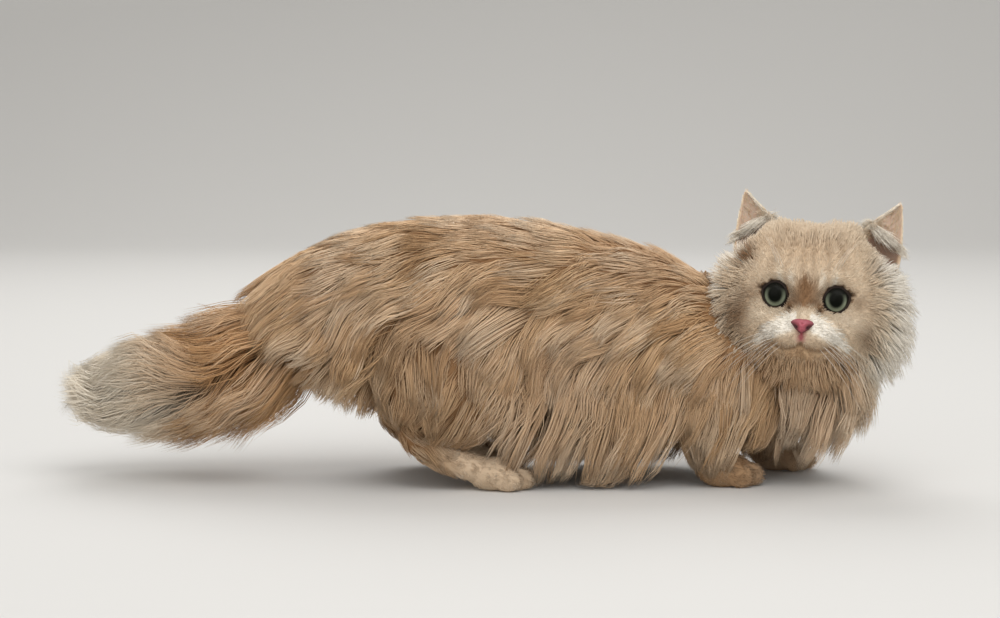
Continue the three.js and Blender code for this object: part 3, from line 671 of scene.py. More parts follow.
def face_markings_and_shade(points):
    bearing, off, height = face_angles(points)

    def spot(at, up, wide, tall):
        """1 at a bearing and height on both sides of the face, falling to 0 round it."""
        return bell(off - at, wide) * bell(height - up, tall)

    pads, shade_below_pads = moustache(off, height)
    ticks = spot(14, 18, 2.0, 4.5) + spot(26, 20, 2.2, 4.5)
    bridge = spot(0, -11, 9, 3.5)
    forehead = bell(off, 34) * ramp(height, 26, 40) * ramp(-height, -88, -70)
    left = bearing > 0
    # The pale ruff of the cheeks, partly paler hair and partly a painted highlight, reaching further round on
    # the left side
    ruff = ramp(off + 6 * left, 60, 78) * (1 - ramp(off - 12 * left, 78, 98)) * ramp(-height, -50, -25)
    behind = ramp(off, 88, 120)
    below = np.maximum(ramp(-height, 36, 44), ramp(-height, 30, 34) * bell(off, 22))
    pale = 0.54 + 0.5 * pads + 0.38 * ticks + 0.1 * bridge + 0.15 * spot(36, -14, 13, 5)
    pale = pale + 0.12 * spot(0, 68, 60, 12) - 0.12 * forehead + 0.44 * ruff * (1 - 0.7 * below)
    pale = pale - 0.32 * below * (1 - 0.6 * ruff) - 0.28 * behind
    nose_bridge = bell(off, 12) * ramp(height, -10, -3) * ramp(-height, -26, -12)
    parting = bell(bearing + 2, 1.8) * ramp(height, 8, 12) * ramp(-height, -28, -20)
    stripes = bell(off - 5, 2) + bell(off - 20, 2.2) + 0.8 * bell(off - 34, 3)
    dark = (
        0.16
        + 0.85 * nose_bridge
        + 0.6 * parting
        + 0.22 * stripes * ramp(height, 20, 28) * ramp(-height, -75, -50)
        # Dark cheek patches, partly brown marking and partly painted shade, larger and darker on the right side
        # than the left
        + np.where(left, 0.5 * spot(53, -22, 6, 5), 0.7 * spot(54, -13, 6, 9))
        + 0.4 * spot(47, 1, 4, 4)
        + 0.3 * spot(13, -8, 3.5, 5)
        # Painted shade beneath the moustache's pads, and a band along the mouth that is partly its dark line
        # and partly painted shade
        + 0.2 * shade_below_pads
        + 0.5 * bell(off - 12, 20) * bell(height + 33 + 0.1 * off, 2.5)
        # Painted shade in the fold below each ear's outer edge
        + 1.2 * beside_ear(points, EAR_FOLD_SHADE, EAR_FOLD_SHADE_SPREAD)
        + 0.9 * eye_line(points)
    )
    warm = 0.12 + 0.16 * forehead + 0.45 * below - 0.2 * np.clip(pads + bridge, 0, 1) + 0.4 * behind
    return pale, warm, dark * (1 - pads) * (1 - 0.8 * np.clip(ticks + ruff, 0, 1))


def bare_skin(points):
    """Shares of pink and dark bare skin on the face, and of the face itself, whose short hair spares the skin
    the painted shade that it gets under long hair.
    """
    _, off, height = face_angles(points)
    pink = 0.8 * bell(off, 2.0) * ramp(-height, 19, 22) * ramp(height, -33, -27)
    mouth = bell(height - mouth_height(off), 1.2) * ramp(-off, -30, -20) * 0.5
    long_hair = ramp(off, 50, 80) * ramp(-height, -38, -5) + ramp(-height, 44, 60) + ramp(off, 90, 110)
    dark = np.maximum(mouth, eye_line(points))
    return np.stack([np.clip(1.3 * pink, 0, 1), dark, 1 - np.clip(long_hair, 0, 1)], axis=1)


# Materials


class Wire:
    """A socket in a material. Sums on it add Math nodes."""

    def __init__(self, paint, socket):
        self.paint, self.socket = paint, socket

    def _math(self, operation, *values):
        return self.paint.node("ShaderNodeMath", {"operation": operation}, dict(enumerate(values)))

    def __add__(self, other):
        return self._math("ADD", self, other)

    def __sub__(self, other):
        return self._math("SUBTRACT", self, other)

    def __rsub__(self, other):
        return self._math("SUBTRACT", other, self)

    def __mul__(self, other):
        return self._math("MULTIPLY", self, other)

    __radd__, __rmul__ = __add__, __mul__


class Paint:
    """A material built from nodes."""

    def __init__(self, name, **constants):
        self.material = bpy.data.materials.new(name)
        self.material.use_nodes = True
        self.tree = self.material.node_tree
        self.shader = self.tree.nodes["Principled BSDF"]
        self.finish(**constants)

    def finish(self, **feeds):
        """Sets or links the shader's sockets. Gives the material."""
        for name, value in feeds.items():
            self.put(self.shader.inputs[name.replace("_", " ")], value)
        return self.material

    def put(self, socket, value):
        if isinstance(value, Wire):
            self.tree.links.new(value.socket, socket)
        else:
            socket.default_value = value

    def node(self, kind, settings=None, values=None, output=0):
        made = self.tree.nodes.new(kind)
        for name, setting in (settings or {}).items():
            if name == "stops":
                while len(made.color_ramp.elements) < len(setting):
                    made.color_ramp.elements.new(0.5)
                for element, (position, colour) in zip(made.color_ramp.elements, setting):
                    element.position = position
                    element.color = (*colour, 1)
            else:
                setattr(made, name, setting)
        for socket, value in (values or {}).items():
            self.put(made.inputs[socket], value)
        return Wire(self, made.outputs[output])

    def place(self):
        return self.node("ShaderNodeTexCoord", output="Object")

    def clamp(self, value):
        return self.node("ShaderNodeClamp", values={0: value})

    def noise(self, scale, detail=3.0, rough=0.55, at=None, stretch=None):
        at = at or self.place()
        if stretch:
            at = self.node("ShaderNodeMapping", values={"Vector": at, "Scale": stretch})
        values = {"Vector": at, "Scale": scale, "Detail": detail, "Roughness": rough}
        return self.node("ShaderNodeTexNoise", values=values)

    def mix(self, share, first, second, blend="MIX"):
        first, second = ((*c, 1) if isinstance(c, tuple) else c for c in (first, second))
        settings = {"data_type": "RGBA", "blend_type": blend}
        return self.node("ShaderNodeMix", settings, {0: share, 6: first, 7: second}, output=2)

    def tinted(self, colour, tint):
        return self.mix(1.0, colour, tint, "MULTIPLY")

    def parts(self, attribute):
        """The three numbers kept on each point under a name."""
        vector = self.node("ShaderNodeAttribute", {"attribute_name": attribute}, output="Vector")
        split = self.node("ShaderNodeSeparateXYZ", values={0: vector})
        return [Wire(self, output) for output in split.socket.node.outputs]

    def bump(self, height, strength, distance):
        values = {"Height": height, "Strength": strength, "Distance": distance}
        return self.node("ShaderNodeBump", values=values)


def scaled(colour, share):
    return tuple(min(1, share * value) for value in colour)


def marked_colour(paint, colours):
    """Hair colour from the pale, warm and dark shares kept on each point, the dark share partly painted shade.
    """
    pale, warm, dark = paint.parts("markings")
    colour = paint.mix(warm, colours.cream, colours.ginger)
    colour = paint.mix(pale, colour, colours.white)
    colour = paint.mix(paint.clamp(pale * 4 - 3.2) * 0.7, colour, SNOW)
    return paint.mix(dark, colour, colours.brown), pale, dark


def fur_material(name, colours, contrast=1.0):
    """Hairs: streaked from lock to lock, with painted shade at the root and paler at the tip."""
    paint = Paint(name, Specular_IOR_Level=0.12)
    tone, along, lock_tone = paint.parts("tuft")
    colour, pale, dark = marked_colour(paint, colours)
    # A shaded copy of the hair's colour, for painted shade
    deep = paint.tinted(colour, paint.mix(pale, *ROOT_SHADE_TINTS))
    tip = paint.mix(0.75, colour, colours.white)
    shine = tone * 0.3 + lock_tone * 0.7
    bright = paint.clamp((shine - 0.38) * along * 1.5)
    # Painted shade at the roots, where the hairs shade each other; random darker locks are pulled towards the
    # same shaded copy
    colour = paint.mix(paint.clamp(0.55 - along * 1.1), colour, deep)
    colour = paint.mix(paint.clamp(0.62 - shine * 1.3) * contrast, colour, deep)
    colour = paint.mix(bright * (1 - dark * 0.85) * contrast, colour, tip)
    return paint.finish(Base_Color=colour, Roughness=0.85 - along * 0.15)


def skin_material(colours):
    """Short underfur over warm skin, bare and pink below the nose."""
    paint = Paint("underfur", Specular_IOR_Level=0.12)
    grain = paint.noise(1400, 2, 0.6, stretch=(0.35, 1, 1))
    patches = paint.noise(60, 4)
    colour, pale, _ = marked_colour(paint, colours)
    shade = paint.tinted(colour, paint.mix(pale, *SKIN_TINTS))
    colour = paint.mix(grain * 0.4 + patches * 0.25, colour, shade)
    pink, dark, face = paint.parts("bare")
    # Painted shade on the skin below long hair, left off where the face's share is full
    under = paint.tinted(colour, paint.mix(pale, *UNDER_HAIR_SHADE_TINTS))
    colour = paint.mix(1 - face, colour, under)
    colour = paint.mix(pink, colour, scaled(colours.nose, 0.8))
    colour = paint.mix(dark, colour, colours.rim)
    bumps = paint.bump(grain, 0.5, 0.0008)
    return paint.finish(Base_Color=colour, Roughness=grain * 0.2 + 0.7, Normal=bumps)


def eye_material(side, colours):
    """Round black pupil, grey-green iris with fine rays, dark rim and a wet gloss."""
    paint = Paint("eye_" + side, Coat_Roughness=0.02, Coat_IOR=1.35, Specular_IOR_Level=0.03, Coat_Weight=0.1)
    out = SIDES[side]
    centre = to_frame(from_head(eye_centre(out)[None]))[0]
    turn = Matrix((HEAD_AXES @ eye_axes(out)).tolist()).to_euler("XYZ")
    values = {"Vector": paint.place(), "Location": centre, "Rotation": turn, "Scale": (MM, MM, MM)}
    local = paint.node("ShaderNodeMapping", {"vector_type": "TEXTURE"}, values)
    flat = paint.node("ShaderNodeVectorMath", {"operation": "MULTIPLY"}, {0: local, 1: (0, 1, 0.88)})
    radius = paint.node("ShaderNodeVectorMath", {"operation": "LENGTH"}, {0: flat}, output="Value")
    rays = paint.noise(1.0, 3, 0.7, at=flat, stretch=(1, 2.2, 2.2))
    # From the pupil's middle outwards, as shares of 10 mm
    stops = [
        (0.0, (0.002, 0.002, 0.001)),
        (0.36, (0.003, 0.004, 0.002)),
        (0.42, scaled(colours.iris, 0.3)),
        (0.49, colours.iris),
        (0.59, scaled(colours.iris, 1.5)),
        (0.65, scaled(colours.iris, 0.3)),
        (0.70, (0.012, 0.008, 0.006)),
    ]
    colour = paint.node("ShaderNodeValToRGB", {"stops": stops}, {0: radius * 0.1 + (rays - 0.5) * 0.05})
    colour = paint.mix(rays * 0.6, colour, paint.tinted(colour, (0.55, 0.6, 0.5)))
    # The upper lid shades the top of the eye
    upward = paint.node("ShaderNodeSeparateXYZ", values={0: local}, output=2)
    colour = paint.mix(paint.clamp(upward * 0.16 + 0.32), colour, LID_SHADE_BLACK)
    return paint.finish(Base_Color=colour, Roughness=0.4 + rays * 0.1)


def nose_material(colours):
    paint = Paint("nose_leather", Coat_Roughness=0.2, Coat_Weight=0.15)
    pebbles = paint.node("ShaderNodeTexVoronoi", values={"Vector": paint.place(), "Scale": 1500.0})
    patches = paint.noise(260, 3)
    edge, nostril_shade, _ = paint.parts("leather")
    colour = paint.mix(patches, colours.nose, scaled(colours.nose, 0.62))
    colour = paint.mix(pebbles * 0.3, colour, scaled(colours.nose, 1.4))
    colour = paint.mix(edge, colour, (0.13, 0.022, 0.03))
    # Painted shade in the nostrils
    colour = paint.mix(nostril_shade, colour, (0.035, 0.008, 0.01))
    bumps = paint.bump(pebbles, 0.6, 0.0003)
    return paint.finish(Base_Color=colour, Roughness=pebbles * 0.3 + 0.42, Normal=bumps)


def ear_material(colours):
    """Thin skin: pink inside, with painted shade low in the cup, cream hair on the back and along the edge."""
    paint = Paint("ear_skin", Specular_IOR_Level=0.25, Subsurface_Weight=0.15, Subsurface_Scale=0.004)
    inner, edge, tall = paint.parts("ear")
    hairs = paint.noise(1500, 2, 0.6, stretch=(1, 1, 0.3))
    veins = paint.noise(180, 4, 0.6)
    pink = paint.mix(veins, colours.ear, scaled(colours.ear, 0.72))
    back = paint.mix(0.35, colours.cream, colours.brown)
    cream = paint.mix(hairs * 1.4 - 0.2, colours.cream, back)
    # Painted shade low in the ear's cup, broken up by the veins
    hollow_shade = paint.clamp(1.75 - tall * 3.4) * (0.7 + veins * 0.5)
    pink = paint.mix(paint.clamp(hollow_shade), pink, (0.27, 0.175, 0.125))
    colour = paint.mix(inner * (1 - edge * 0.8), cream, pink)
    colour = paint.mix(edge * 0.3, colour, colours.white)
    bumps = paint.bump(hairs, 0.35, 0.0006)
    return paint.finish(Base_Color=colour, Roughness=hairs * 0.2 + 0.65, Normal=bumps)


def patched_material(name, first, second, scale, rough, amount=1.0, detail=3.0, **constants):
    """Two colours in soft patches, rougher where the second one shows."""
    paint = Paint(name, **constants)
    patches = paint.noise(scale, detail)
    low, high = rough
    colour = paint.mix(patches * amount, first, second)
    return paint.finish(Base_Color=colour, Roughness=patches * (high - low) + low)


# Hair


def strand_mesh(name, paths, widths, asides, tone, lock, marks_and_shade, spots, flat=0.5):
    """One mesh of closed three-sided strands. paths: strand, step, xyz. The last step is the tip."""
    count, steps, _ = paths.shape
    rings = steps - 1
    ahead = unit(np.diff(paths, axis=1))
    ahead = np.concatenate([ahead, ahead[:, -1:]], axis=1)
    across = unit(np.cross(ahead, asides[:, None]))
    above = np.cross(across, ahead)
    corners = []
    for turn in (0, 1, 2):
        angle = math.pi / 2 + turn * math.tau / 3
        wide = across[:, :rings] * (widths * math.cos(angle))[..., None]
        high = above[:, :rings] * (widths * flat * math.sin(angle))[..., None]
        corners.append(paths[:, :rings] + wide + high)
    ring_points = np.stack(corners, axis=2).reshape(count, rings * 3, 3)
    points = np.concatenate([ring_points, paths[:, -1:]], axis=1)
    per = rings * 3 + 1
    faces = []
    for ring in range(rings - 1):
        for corner in range(3):
            a, b = ring * 3 + corner, ring * 3 + (corner + 1) % 3
            faces += [(a, b, b + 3), (a, b + 3, a + 3)]
    last = (rings - 1) * 3
    faces += [(last + c, last + (c + 1) % 3, per - 1) for c in range(3)]
    faces = np.array([*faces, (2, 1, 0)])
    every = (faces[None] + (np.arange(count) * per)[:, None, None]).reshape(-1, 3)
    mesh = bpy.data.meshes.new(name)
    mesh.vertices.add(count * per)
    mesh.vertices.foreach_set("co", to_frame(points.reshape(-1, 3)).ravel())
    mesh.loops.add(len(every) * 3)
    mesh.loops.foreach_set("vertex_index", every.ravel())
    mesh.polygons.add(len(every))
    mesh.polygons.foreach_set("loop_start", np.arange(len(every)) * 3)
    mesh.update(calc_edges=True)
    along = np.concatenate([np.repeat(np.linspace(0, 1, steps)[:-1], 3), [1.0]])
    tuft = np.stack(np.broadcast_arrays(tone[:, None], along[None], lock[:, None]), axis=2)
    write_attribute(mesh, "tuft", tuft.reshape(-1, 3))
    write_attribute(mesh, "markings", np.repeat(marks_and_shade, per, axis=0))
    corner_places = np.stack([np.linspace(0, 1, per), (np.arange(per) % 3) / 2], axis=1) * UV_PATCH
    uv = (spots * (1 - UV_PATCH))[:, None, None] + corner_places[faces][None]
    mesh.uv_layers.new(name="OFBake").data.foreach_set("uv", uv.ravel())
    return mesh


def nearest(points, targets):
    tree = KDTree(len(targets))
    for i, target in enumerate(targets):
        tree.insert(target, i)
    tree.balance()
    return np.array([tree.find(point)[1] for point in points])


def drift(points, span, seed):
    """Smooth values from -1 to 1 over space, with waves of about a span's length."""
    draw = np.random.default_rng(seed)
    ways = unit(draw.normal(0, 1, (5, 3))) * draw.uniform(0.7, 1.4, (5, 1)) * math.tau / span
    return np.sin(points @ ways.T + draw.uniform(0, math.tau, 5)).sum(axis=1) / 2.6


def lie_of_coat(part, points, normals):
    """The way the coat lies at points of a part of the body."""
    x, out, low = points[:, 0], normals[:, 1], -normals[:, 2]
    if part == "torso":
        down = 0.1 + 0.75 * ramp(low, -0.9, -0.1) + 2.2 * ramp(low, -0.2, 0.4)
        rump = ramp(-x, 55, 120)
        down = down * (1 - rump) + rump * (0.5 + 0.5 * ramp(low, -0.2, 0.6))
        down = down + 0.8 * ramp(x, 95, 140) * ramp(low, -0.6, 0.1)
        return unit(np.stack([-np.ones_like(x), 0.15 * out, -down], axis=1))
    if part in ("neck", "chest"):
        top = ramp(-low, 0.2, 0.8)
        back = -0.3 - top - 0.25 * ramp(normals[:, 0], 0, 0.6)
        return unit(np.stack([back, 0.18 * out, 0.7 * top - 1], axis=1))
    if part == "tail":
        share, _ = FORMS["tail"].places(points)
        return unit(FORMS["tail"].frame(share)[0] - 0.12 * UP)
    if part == "head":
        _, off, height = face_angles(points)
        away = to_head(points) - np.array([NOSE_AT[0] - 6, 0, NOSE_AT[2] + 2])
        away[:, 0] = -np.abs(away[:, 0]) - 4
        away[:, 2] -= 48 * ramp(off, 36, 75) * ramp(-height, -25, 10)
        away[:, 2] -= 40 * ramp(-height, 34, 50)
        away[:, 0] -= 12 * ramp(height, 30, 60)
        return unit(away) @ HEAD_AXES.T
    ways = {"thigh": (-0.3, 0.1, -1), "foreleg": (-0.15, 0.15, -1), "hock": (0.8, 0.05, -0.6)}
    along, aside, upward = ways.get(part.split("_")[0], (1, 0, -0.35))
    return unit(np.stack([np.full_like(x, along), aside * out, np.full_like(x, upward)], axis=1))


def walk(part, region, roots, normals, length, lift, free, veer):
    """Paths of hairs that leave the skin and lie along it, or hang free of it."""
    form, steps, wander = FORMS[part], region.steps, region.wander
    gap = roots - form.under(roots)[0] if region.hugging else None
    place, normal = roots.copy(), normals
    path = [roots - normals]
    loose = free[:, None]
    for step in range(1, steps):
        share = step / (steps - 1)
        way = lie_of_coat(part, place, normal)
        turn = veer + wander * (0.6 * drift(place, 60, 11) + 0.5 * drift(place, 19, 12))
        way = unit(way + np.cross(normal, way) * turn[:, None])
        flat = unit(way - normal * (way * normal).sum(axis=1)[:, None])
        place = place + unit(flat * (1 - loose) + way * loose) * (length / (steps - 1))[:, None]
        if region.hugging:
            under, normal = form.under(place)
            height = ((place - under - gap * (1 - share)) * normal).sum(axis=1)
            place = place - normal * (height * (1 - free))[:, None]
        risen = unit(normal * (1 - loose) + normals * loose)
        path.append(place + risen * (lift * share**region.rise)[:, None])
    return np.stack(path, axis=1)


@dataclass
class Region:
    """How the coat grows on some parts of the skin. Lengths are in millimetres, numbers or functions of
    roots and normals. tuft and lock: hairs in one. gather: how far these pull together."""

    name: str
    seed: int
    parts: list
    count: int
    length: object
    lift: object
    free: object = 0.0
    keep: object = None
    steps: int = 5
    width: float = 0.32
    tuft: int = 8
    lock: int = 60
    gather: tuple = (0.3, 0.5)
    uneven: float = 0.16
    frizz: float = 0.7
    swing: float = 2.2
    hugging: bool = True
    wander: float = 0.35
    rise: float = 0.8
    clear: float = 1.2
    slot: str = "coat"


def worked_out(value, roots, normals):
    return value(roots, normals) if callable(value) else np.full(len(roots), float(value))


def own_cell(spots, index, cells):
    """Spreads places over one of some equal strips of an unwrap."""
    low, high = spots.min(axis=0), spots.max(axis=0)
    spots = (spots - low) / np.maximum(high - low, 1e-6)
    return np.stack([(index + spots[:, 0] * 0.98) / cells, spots[:, 1]], axis=1)


def gathered(roots, per_group, draw):
    """For each hair the index of the one that leads its group."""
    leaders = draw.permutation(len(roots))[: max(4, len(roots) // per_group)]
    return leaders[nearest(roots, roots[leaders])]


def grow(region, material):
    """Covers parts of the skin with hairs that gather into tufts, and tufts into locks."""
    draw = np.random.default_rng(region.seed)
    roots, normals, labels = sample_skin(region, draw)
    count, steps = len(roots), region.steps
    tuft, lock = (gathered(roots, size, draw) for size in (region.tuft, region.lock))
    paths, spots = np.empty((count, steps, 3)), np.empty((count, 2))
    length = worked_out(region.length, roots, normals) * draw.uniform(0.85, 1.1, count)
    length = length * (1 + region.uneven * draw.uniform(-1, 1, count)[lock])
    lift = worked_out(region.lift, roots, normals) * draw.uniform(0.55, 1.2, count)
    free = np.clip(worked_out(region.free, roots, normals), 0, 1)
    veer = draw.normal(0, region.wander * 0.5, count)[lock]
    parts = np.unique(labels)
    for i, part in enumerate(parts):
        mine = np.flatnonzero(labels == part)
        values = (values[mine] for values in (roots, normals, length, lift, free, veer))
        paths[mine] = walk(part, region, *values)
        spots[mine] = own_cell(FORMS[part].spots(roots[mine]), i, len(parts))
    share = np.linspace(0, 1, steps)[None, :, None]
    for group, amount in zip((tuft, lock), region.gather):
        paths = paths - (paths - paths[group]) * amount * share**1.3
    paths = paths + draw.normal(0, region.frizz, (count, 1, 3)) * share**1.5
    swing = draw.normal(0, region.swing, (count, 3))[lock][:, None]
    beat = draw.uniform(0, math.tau, count)[lock][:, None, None]
    paths = paths + swing * np.sin(beat + share * 4.5) * share
    floor = region.clear + share[..., 0] * draw.uniform(0, 2.5, (count, 1))
    paths[..., 2] = np.maximum(paths[..., 2], floor)
    widths = region.width * draw.uniform(0.7, 1.25, (count, 1)) * np.array(STRAND_FORM[steps])[None]
    tone = 0.6 * draw.uniform(0, 1, count)[tuft] + 0.4 * draw.uniform(0, 1, count)
    lock_tone = draw.uniform(0, 1, count)[lock]
    marks_and_shade, spots = markings(roots, labels), np.clip(spots, 0, 1)
    mesh = strand_mesh(region.name, paths, widths, normals, tone, lock_tone, marks_and_shade, spots)
    return finish_piece(add_object(region.name, mesh, material), region.slot)


skin_cache = {}


def sample_skin(region, draw):
    """Draws root points from the triangles of parts of the skin."""
    corners, areas, flats, labels = (skin_cache[k] for k in ("corners", "areas", "normals", "labels"))
    weights = areas * np.isin(labels, region.parts)
    if region.keep:
        weights = weights * region.keep(corners.mean(axis=1), flats)
    picked = draw.choice(len(weights), region.count, p=weights / weights.sum())
    one, two = np.sqrt(draw.uniform(0, 1, region.count)), draw.uniform(0, 1, region.count)
    share = np.stack([1 - one, one * (1 - two), one * two], axis=1)[..., None]
    return (corners[picked] * share).sum(axis=1), flats[picked], labels[picked]


def remember_skin(mesh, clouds):
    """Keeps the skin's triangles, with the part of the body that each is on."""
    mesh.calc_loop_triangles()
    points = from_frame(read(mesh.vertices))
    corners = points[read(mesh.loop_triangles, "vertices", np.int32)]
    cross = np.cross(corners[:, 1] - corners[:, 0], corners[:, 2] - corners[:, 0])
    cloud_points = np.concatenate([cloud for _, cloud in clouds])
    cloud_names = np.concatenate([np.full(len(cloud), name) for name, cloud in clouds])
    skin_cache["corners"], skin_cache["normals"] = corners, unit(cross)
    skin_cache["areas"] = np.linalg.norm(cross, axis=1) / 2
    skin_cache["labels"] = cloud_names[nearest(corners.mean(axis=1), cloud_points)]
    return cloud_names[nearest(points, cloud_points)], points


# Sizes and colours that a user may change


def length_property(name, description, default):
    return bpy.props.FloatProperty(
        name=name, description=description, default=default * MM, min=0.0, subtype="DISTANCE", unit="LENGTH"
    )


def colour_property(name, description, default):
    return bpy.props.FloatVectorProperty(
        name=name, description=description, default=(*default, 1), size=4, min=0, max=1, subtype="COLOR"
    )


class CatCoatSettings(bpy.types.PropertyGroup):
    back: length_property("Back", "Length of the hair along the back", 30)
    flank: length_property("Flank", "Length of the hair on the sides", 42)
    belly: length_property("Belly", "Length of the fringe under the belly", 70)
    ruff: length_property("Ruff", "Length of the hair on neck and chest", 48)
    tail: length_property("Tail", "Length of the hair of the tail", 52)
    leg: length_property("Legs", "Length of the hair on thighs and forelegs", 42)
    cheek: length_property("Cheeks", "Length of the hair at the sides of the head", 28)
    face: length_property("Face", "Length of the hair on the face", 4.5)
    paw: length_property("Paws", "Length of the hair on the feet", 4.2)


class CatColourSettings(bpy.types.PropertyGroup):
    cream: colour_property("Cream", "Main colour of the coat", (0.77, 0.54, 0.31))
    ginger: colour_property("Ginger", "Warmer hair of the back and tail", (0.67, 0.38, 0.165))
    white: colour_property("White", "Palest hair", (0.92, 0.845, 0.71))
    brown: colour_property("Brown", "Darkest markings", (0.27, 0.155, 0.08))
    iris: colour_property("Iris", "Colour of the eyes", (0.185, 0.205, 0.150))
    nose: colour_property("Nose", "Colour of the nose", (0.44, 0.085, 0.115))
    rim: colour_property("Eye rims", "Colour of the edges of the lids", (0.012, 0.008, 0.006))
    ear: colour_property("Inner ear", "Colour of the skin in the ears", (0.56, 0.41, 0.31))
    floor: colour_property("Floor", "Colour of the stage's floor", (0.62, 0.61, 0.59))


def chosen(context):
    """The lengths of the coat in millimetres, and the colours as three numbers each, by their names."""
    coat, colours = context.scene.cat_coat, context.scene.cat_colours
    lengths = {name: getattr(coat, name) / MM for name in coat.__annotations__}
    shades = {name: tuple(getattr(colours, name)[:3]) for name in colours.__annotations__}
    return SimpleNamespace(**lengths, **shades)


# Operators


class CAT_OT_skin(bpy.types.Operator):
    """Make one skin from the body's forms, with the face's folds and lids"""

    bl_idname = "cat.skin"
    bl_label = "Skin"

    def execute(self, context):
        look = chosen(context)
        names = [name for name in FORMS if name != "head" and "paw" not in name]
        parts = {name: limb_mesh(name, FORMS[name]) for name in names}
        feet = [(f"{kind}_{side}", mesh) for kind in PAW for side in SIDES for mesh in paw_meshes(kind, side)]
        head = head_mesh("head", 6, lambda ways: face_reach(ways, SKIN_DEPTH))
        core = head_mesh("head_core", 4, lambda ways: head_reach(ways) - 6)
        clouds = [(name, read(mesh.vertices)) for name, mesh in [*parts.items(), *feet]]
        clouds.append(("head", read(head.vertices)[::3]))
        body = one_surface("skin", [*parts.values(), core], *SKIN_FINENESS)
        head.transform(Matrix.Scale(MM, 4))
        paws = one_surface("feet_skin", [mesh for _, mesh in feet], *FEET_FINENESS)
        for added in (add_object("head_skin", head), paws):
            modify(body, "BOOLEAN", operation="UNION", solver="MANIFOLD", object=added)
            applied(body)
            bpy.data.objects.remove(added)
        body.data.transform(Matrix.Translation(Vector((SHIFT * MM).tolist())))
        finish_feet(body.data)
        labels, points = remember_skin(body.data, clouds)
        write_attribute(body.data, "markings", markings(points, labels))
        on_feet, on_hocks = (np.char.find(labels.astype(str), name) >= 0 for name in ("paw", "hock"))
        # Feet and lower hocks count as short-haired like the face; elsewhere the skin gets painted shade under
        # the long hair
        short = on_feet + on_hocks * ramp(points[:, 0], -45, -22)
        elsewhere = np.stack([0 * short, 0 * short, short], axis=1)
        bare = np.where((labels == "head")[:, None], bare_skin(points), elsewhere)
        write_attribute(body.data, "bare", bare)
        dress(body, skin_material(look))
        body.name = "skin"
        fleshed = [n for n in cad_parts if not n.startswith(("eye", "nose", "ear"))]
        finish_piece(body, "coat", *fleshed)
        return {"FINISHED"}


def finish_feet(mesh):
    """Draws the clefts between the toes into the skin, and flattens the soles."""
    points = read(mesh.vertices)
    depth = CLEFT_DEPTH * MM * toe_clefts(from_frame(points))
    points = points - read(mesh.vertices, "normal") * depth[:, None]
    points[:, 2] = np.maximum(points[:, 2], 0.0)
    place_vertices(mesh, points)


def one_surface(name, meshes, size, rounds):
    """Joins overlapping meshes in millimetres into one closed and softened surface."""
    bm = bmesh.new()
    for mesh in meshes:
        bm.from_mesh(mesh)
    mesh = bpy.data.meshes.new(name)
    bm.to_mesh(mesh)
    bm.free()
    mesh.transform(Matrix.Scale(MM, 4))
    piece = add_object(name, mesh)
    modify(piece, "REMESH", mode="VOXEL", voxel_size=size * MM)
    modify(piece, "SMOOTH", factor=0.5, iterations=rounds)
    return applied(piece)


def paw_meshes(kind, side):
    """A foot's body and its four toes."""
    long, wide, high, _ = PAW[kind]
    foot, turn, toes, sizes = foot_places(kind, side)
    pieces = [(np.array([-0.03 * long, 0, high * 0.46]), np.array([long * 0.42, wide * 0.44, high * 0.54]))]
    for at, radii in pieces + [(toe, sizes) for toe in toes]:
        yield moved_ball("paw", 32, 20, lambda p, at=at, radii=radii: (p * radii + at) @ turn.T + foot)


class CAT_OT_eyes(bpy.types.Operator):
    """Make the eyeballs and the dark edges of the lids"""

    bl_idname = "cat.eyes"
    bl_label = "Eyes"

    def execute(self, context):
        look = chosen(context)
        dark = patched_material(
            "eyelid_rim", look.rim, (0.035, 0.020, 0.014), 700, (0.5, 0.7),
            Coat_Roughness=0.25, Coat_Weight=0.12, Specular_IOR_Level=0.15,
        )
        for side, out in SIDES.items():

            def ball(points, out=out):
                # The ball's pole looks ahead, and the cornea stands out on it
                bulge = 1.1 * np.exp(-(((1 - points[:, 2]) / 0.22) ** 2))
                return from_eye(np.roll(points, 1, axis=1) * (EYE["radius"] - 0.1 + bulge)[:, None], out)

            name = "eyeball_" + side
            eye = add_object(name, moved_ball(name, 64, 40, ball), eye_material(side, look))
            finish_piece(eye, "eye", "eye_" + side)
            loop = almond(20)
            corner = bell(np.linalg.norm(loop - INNER_CORNER, axis=1), 2.0)
            flat = loop * 0.96 + corner[:, None] * np.array([-0.8, -1.2])
            ahead = np.sqrt(np.maximum((EYE["radius"] + 0.25) ** 2 - (flat**2).sum(axis=1), 1))
            path = from_eye(np.stack([ahead, flat[:, 0] * out, flat[:, 1]], axis=1), out)
            finish_piece(tube_object("eyelid_rim_" + side, path, RIM_THICKNESS * MM, dark), "eye")
        return {"FINISHED"}


def tube_object(name, path, thickness, material):
    """A closed loop of even thickness, as a mesh."""
    line = bpy.data.curves.new(name, "CURVE")
    line.dimensions = "3D"
    line.bevel_depth = thickness
    line.bevel_resolution = 3
    spline = line.splines.new("NURBS")
    spline.points.add(len(path) - 1)
    spline.points.foreach_set("co", np.concatenate([path, np.ones((len(path), 1))], axis=1).ravel())
    spline.use_cyclic_u = True
    spline.order_u = 4
    spline.resolution_u = 4
    drawn = bpy.data.objects.new(name + "_line", line)
    bpy.context.scene.collection.objects.link(drawn)
    mesh = evaluated_mesh(drawn)
    bpy.data.objects.remove(drawn)
    return add_object(name, mesh, material)


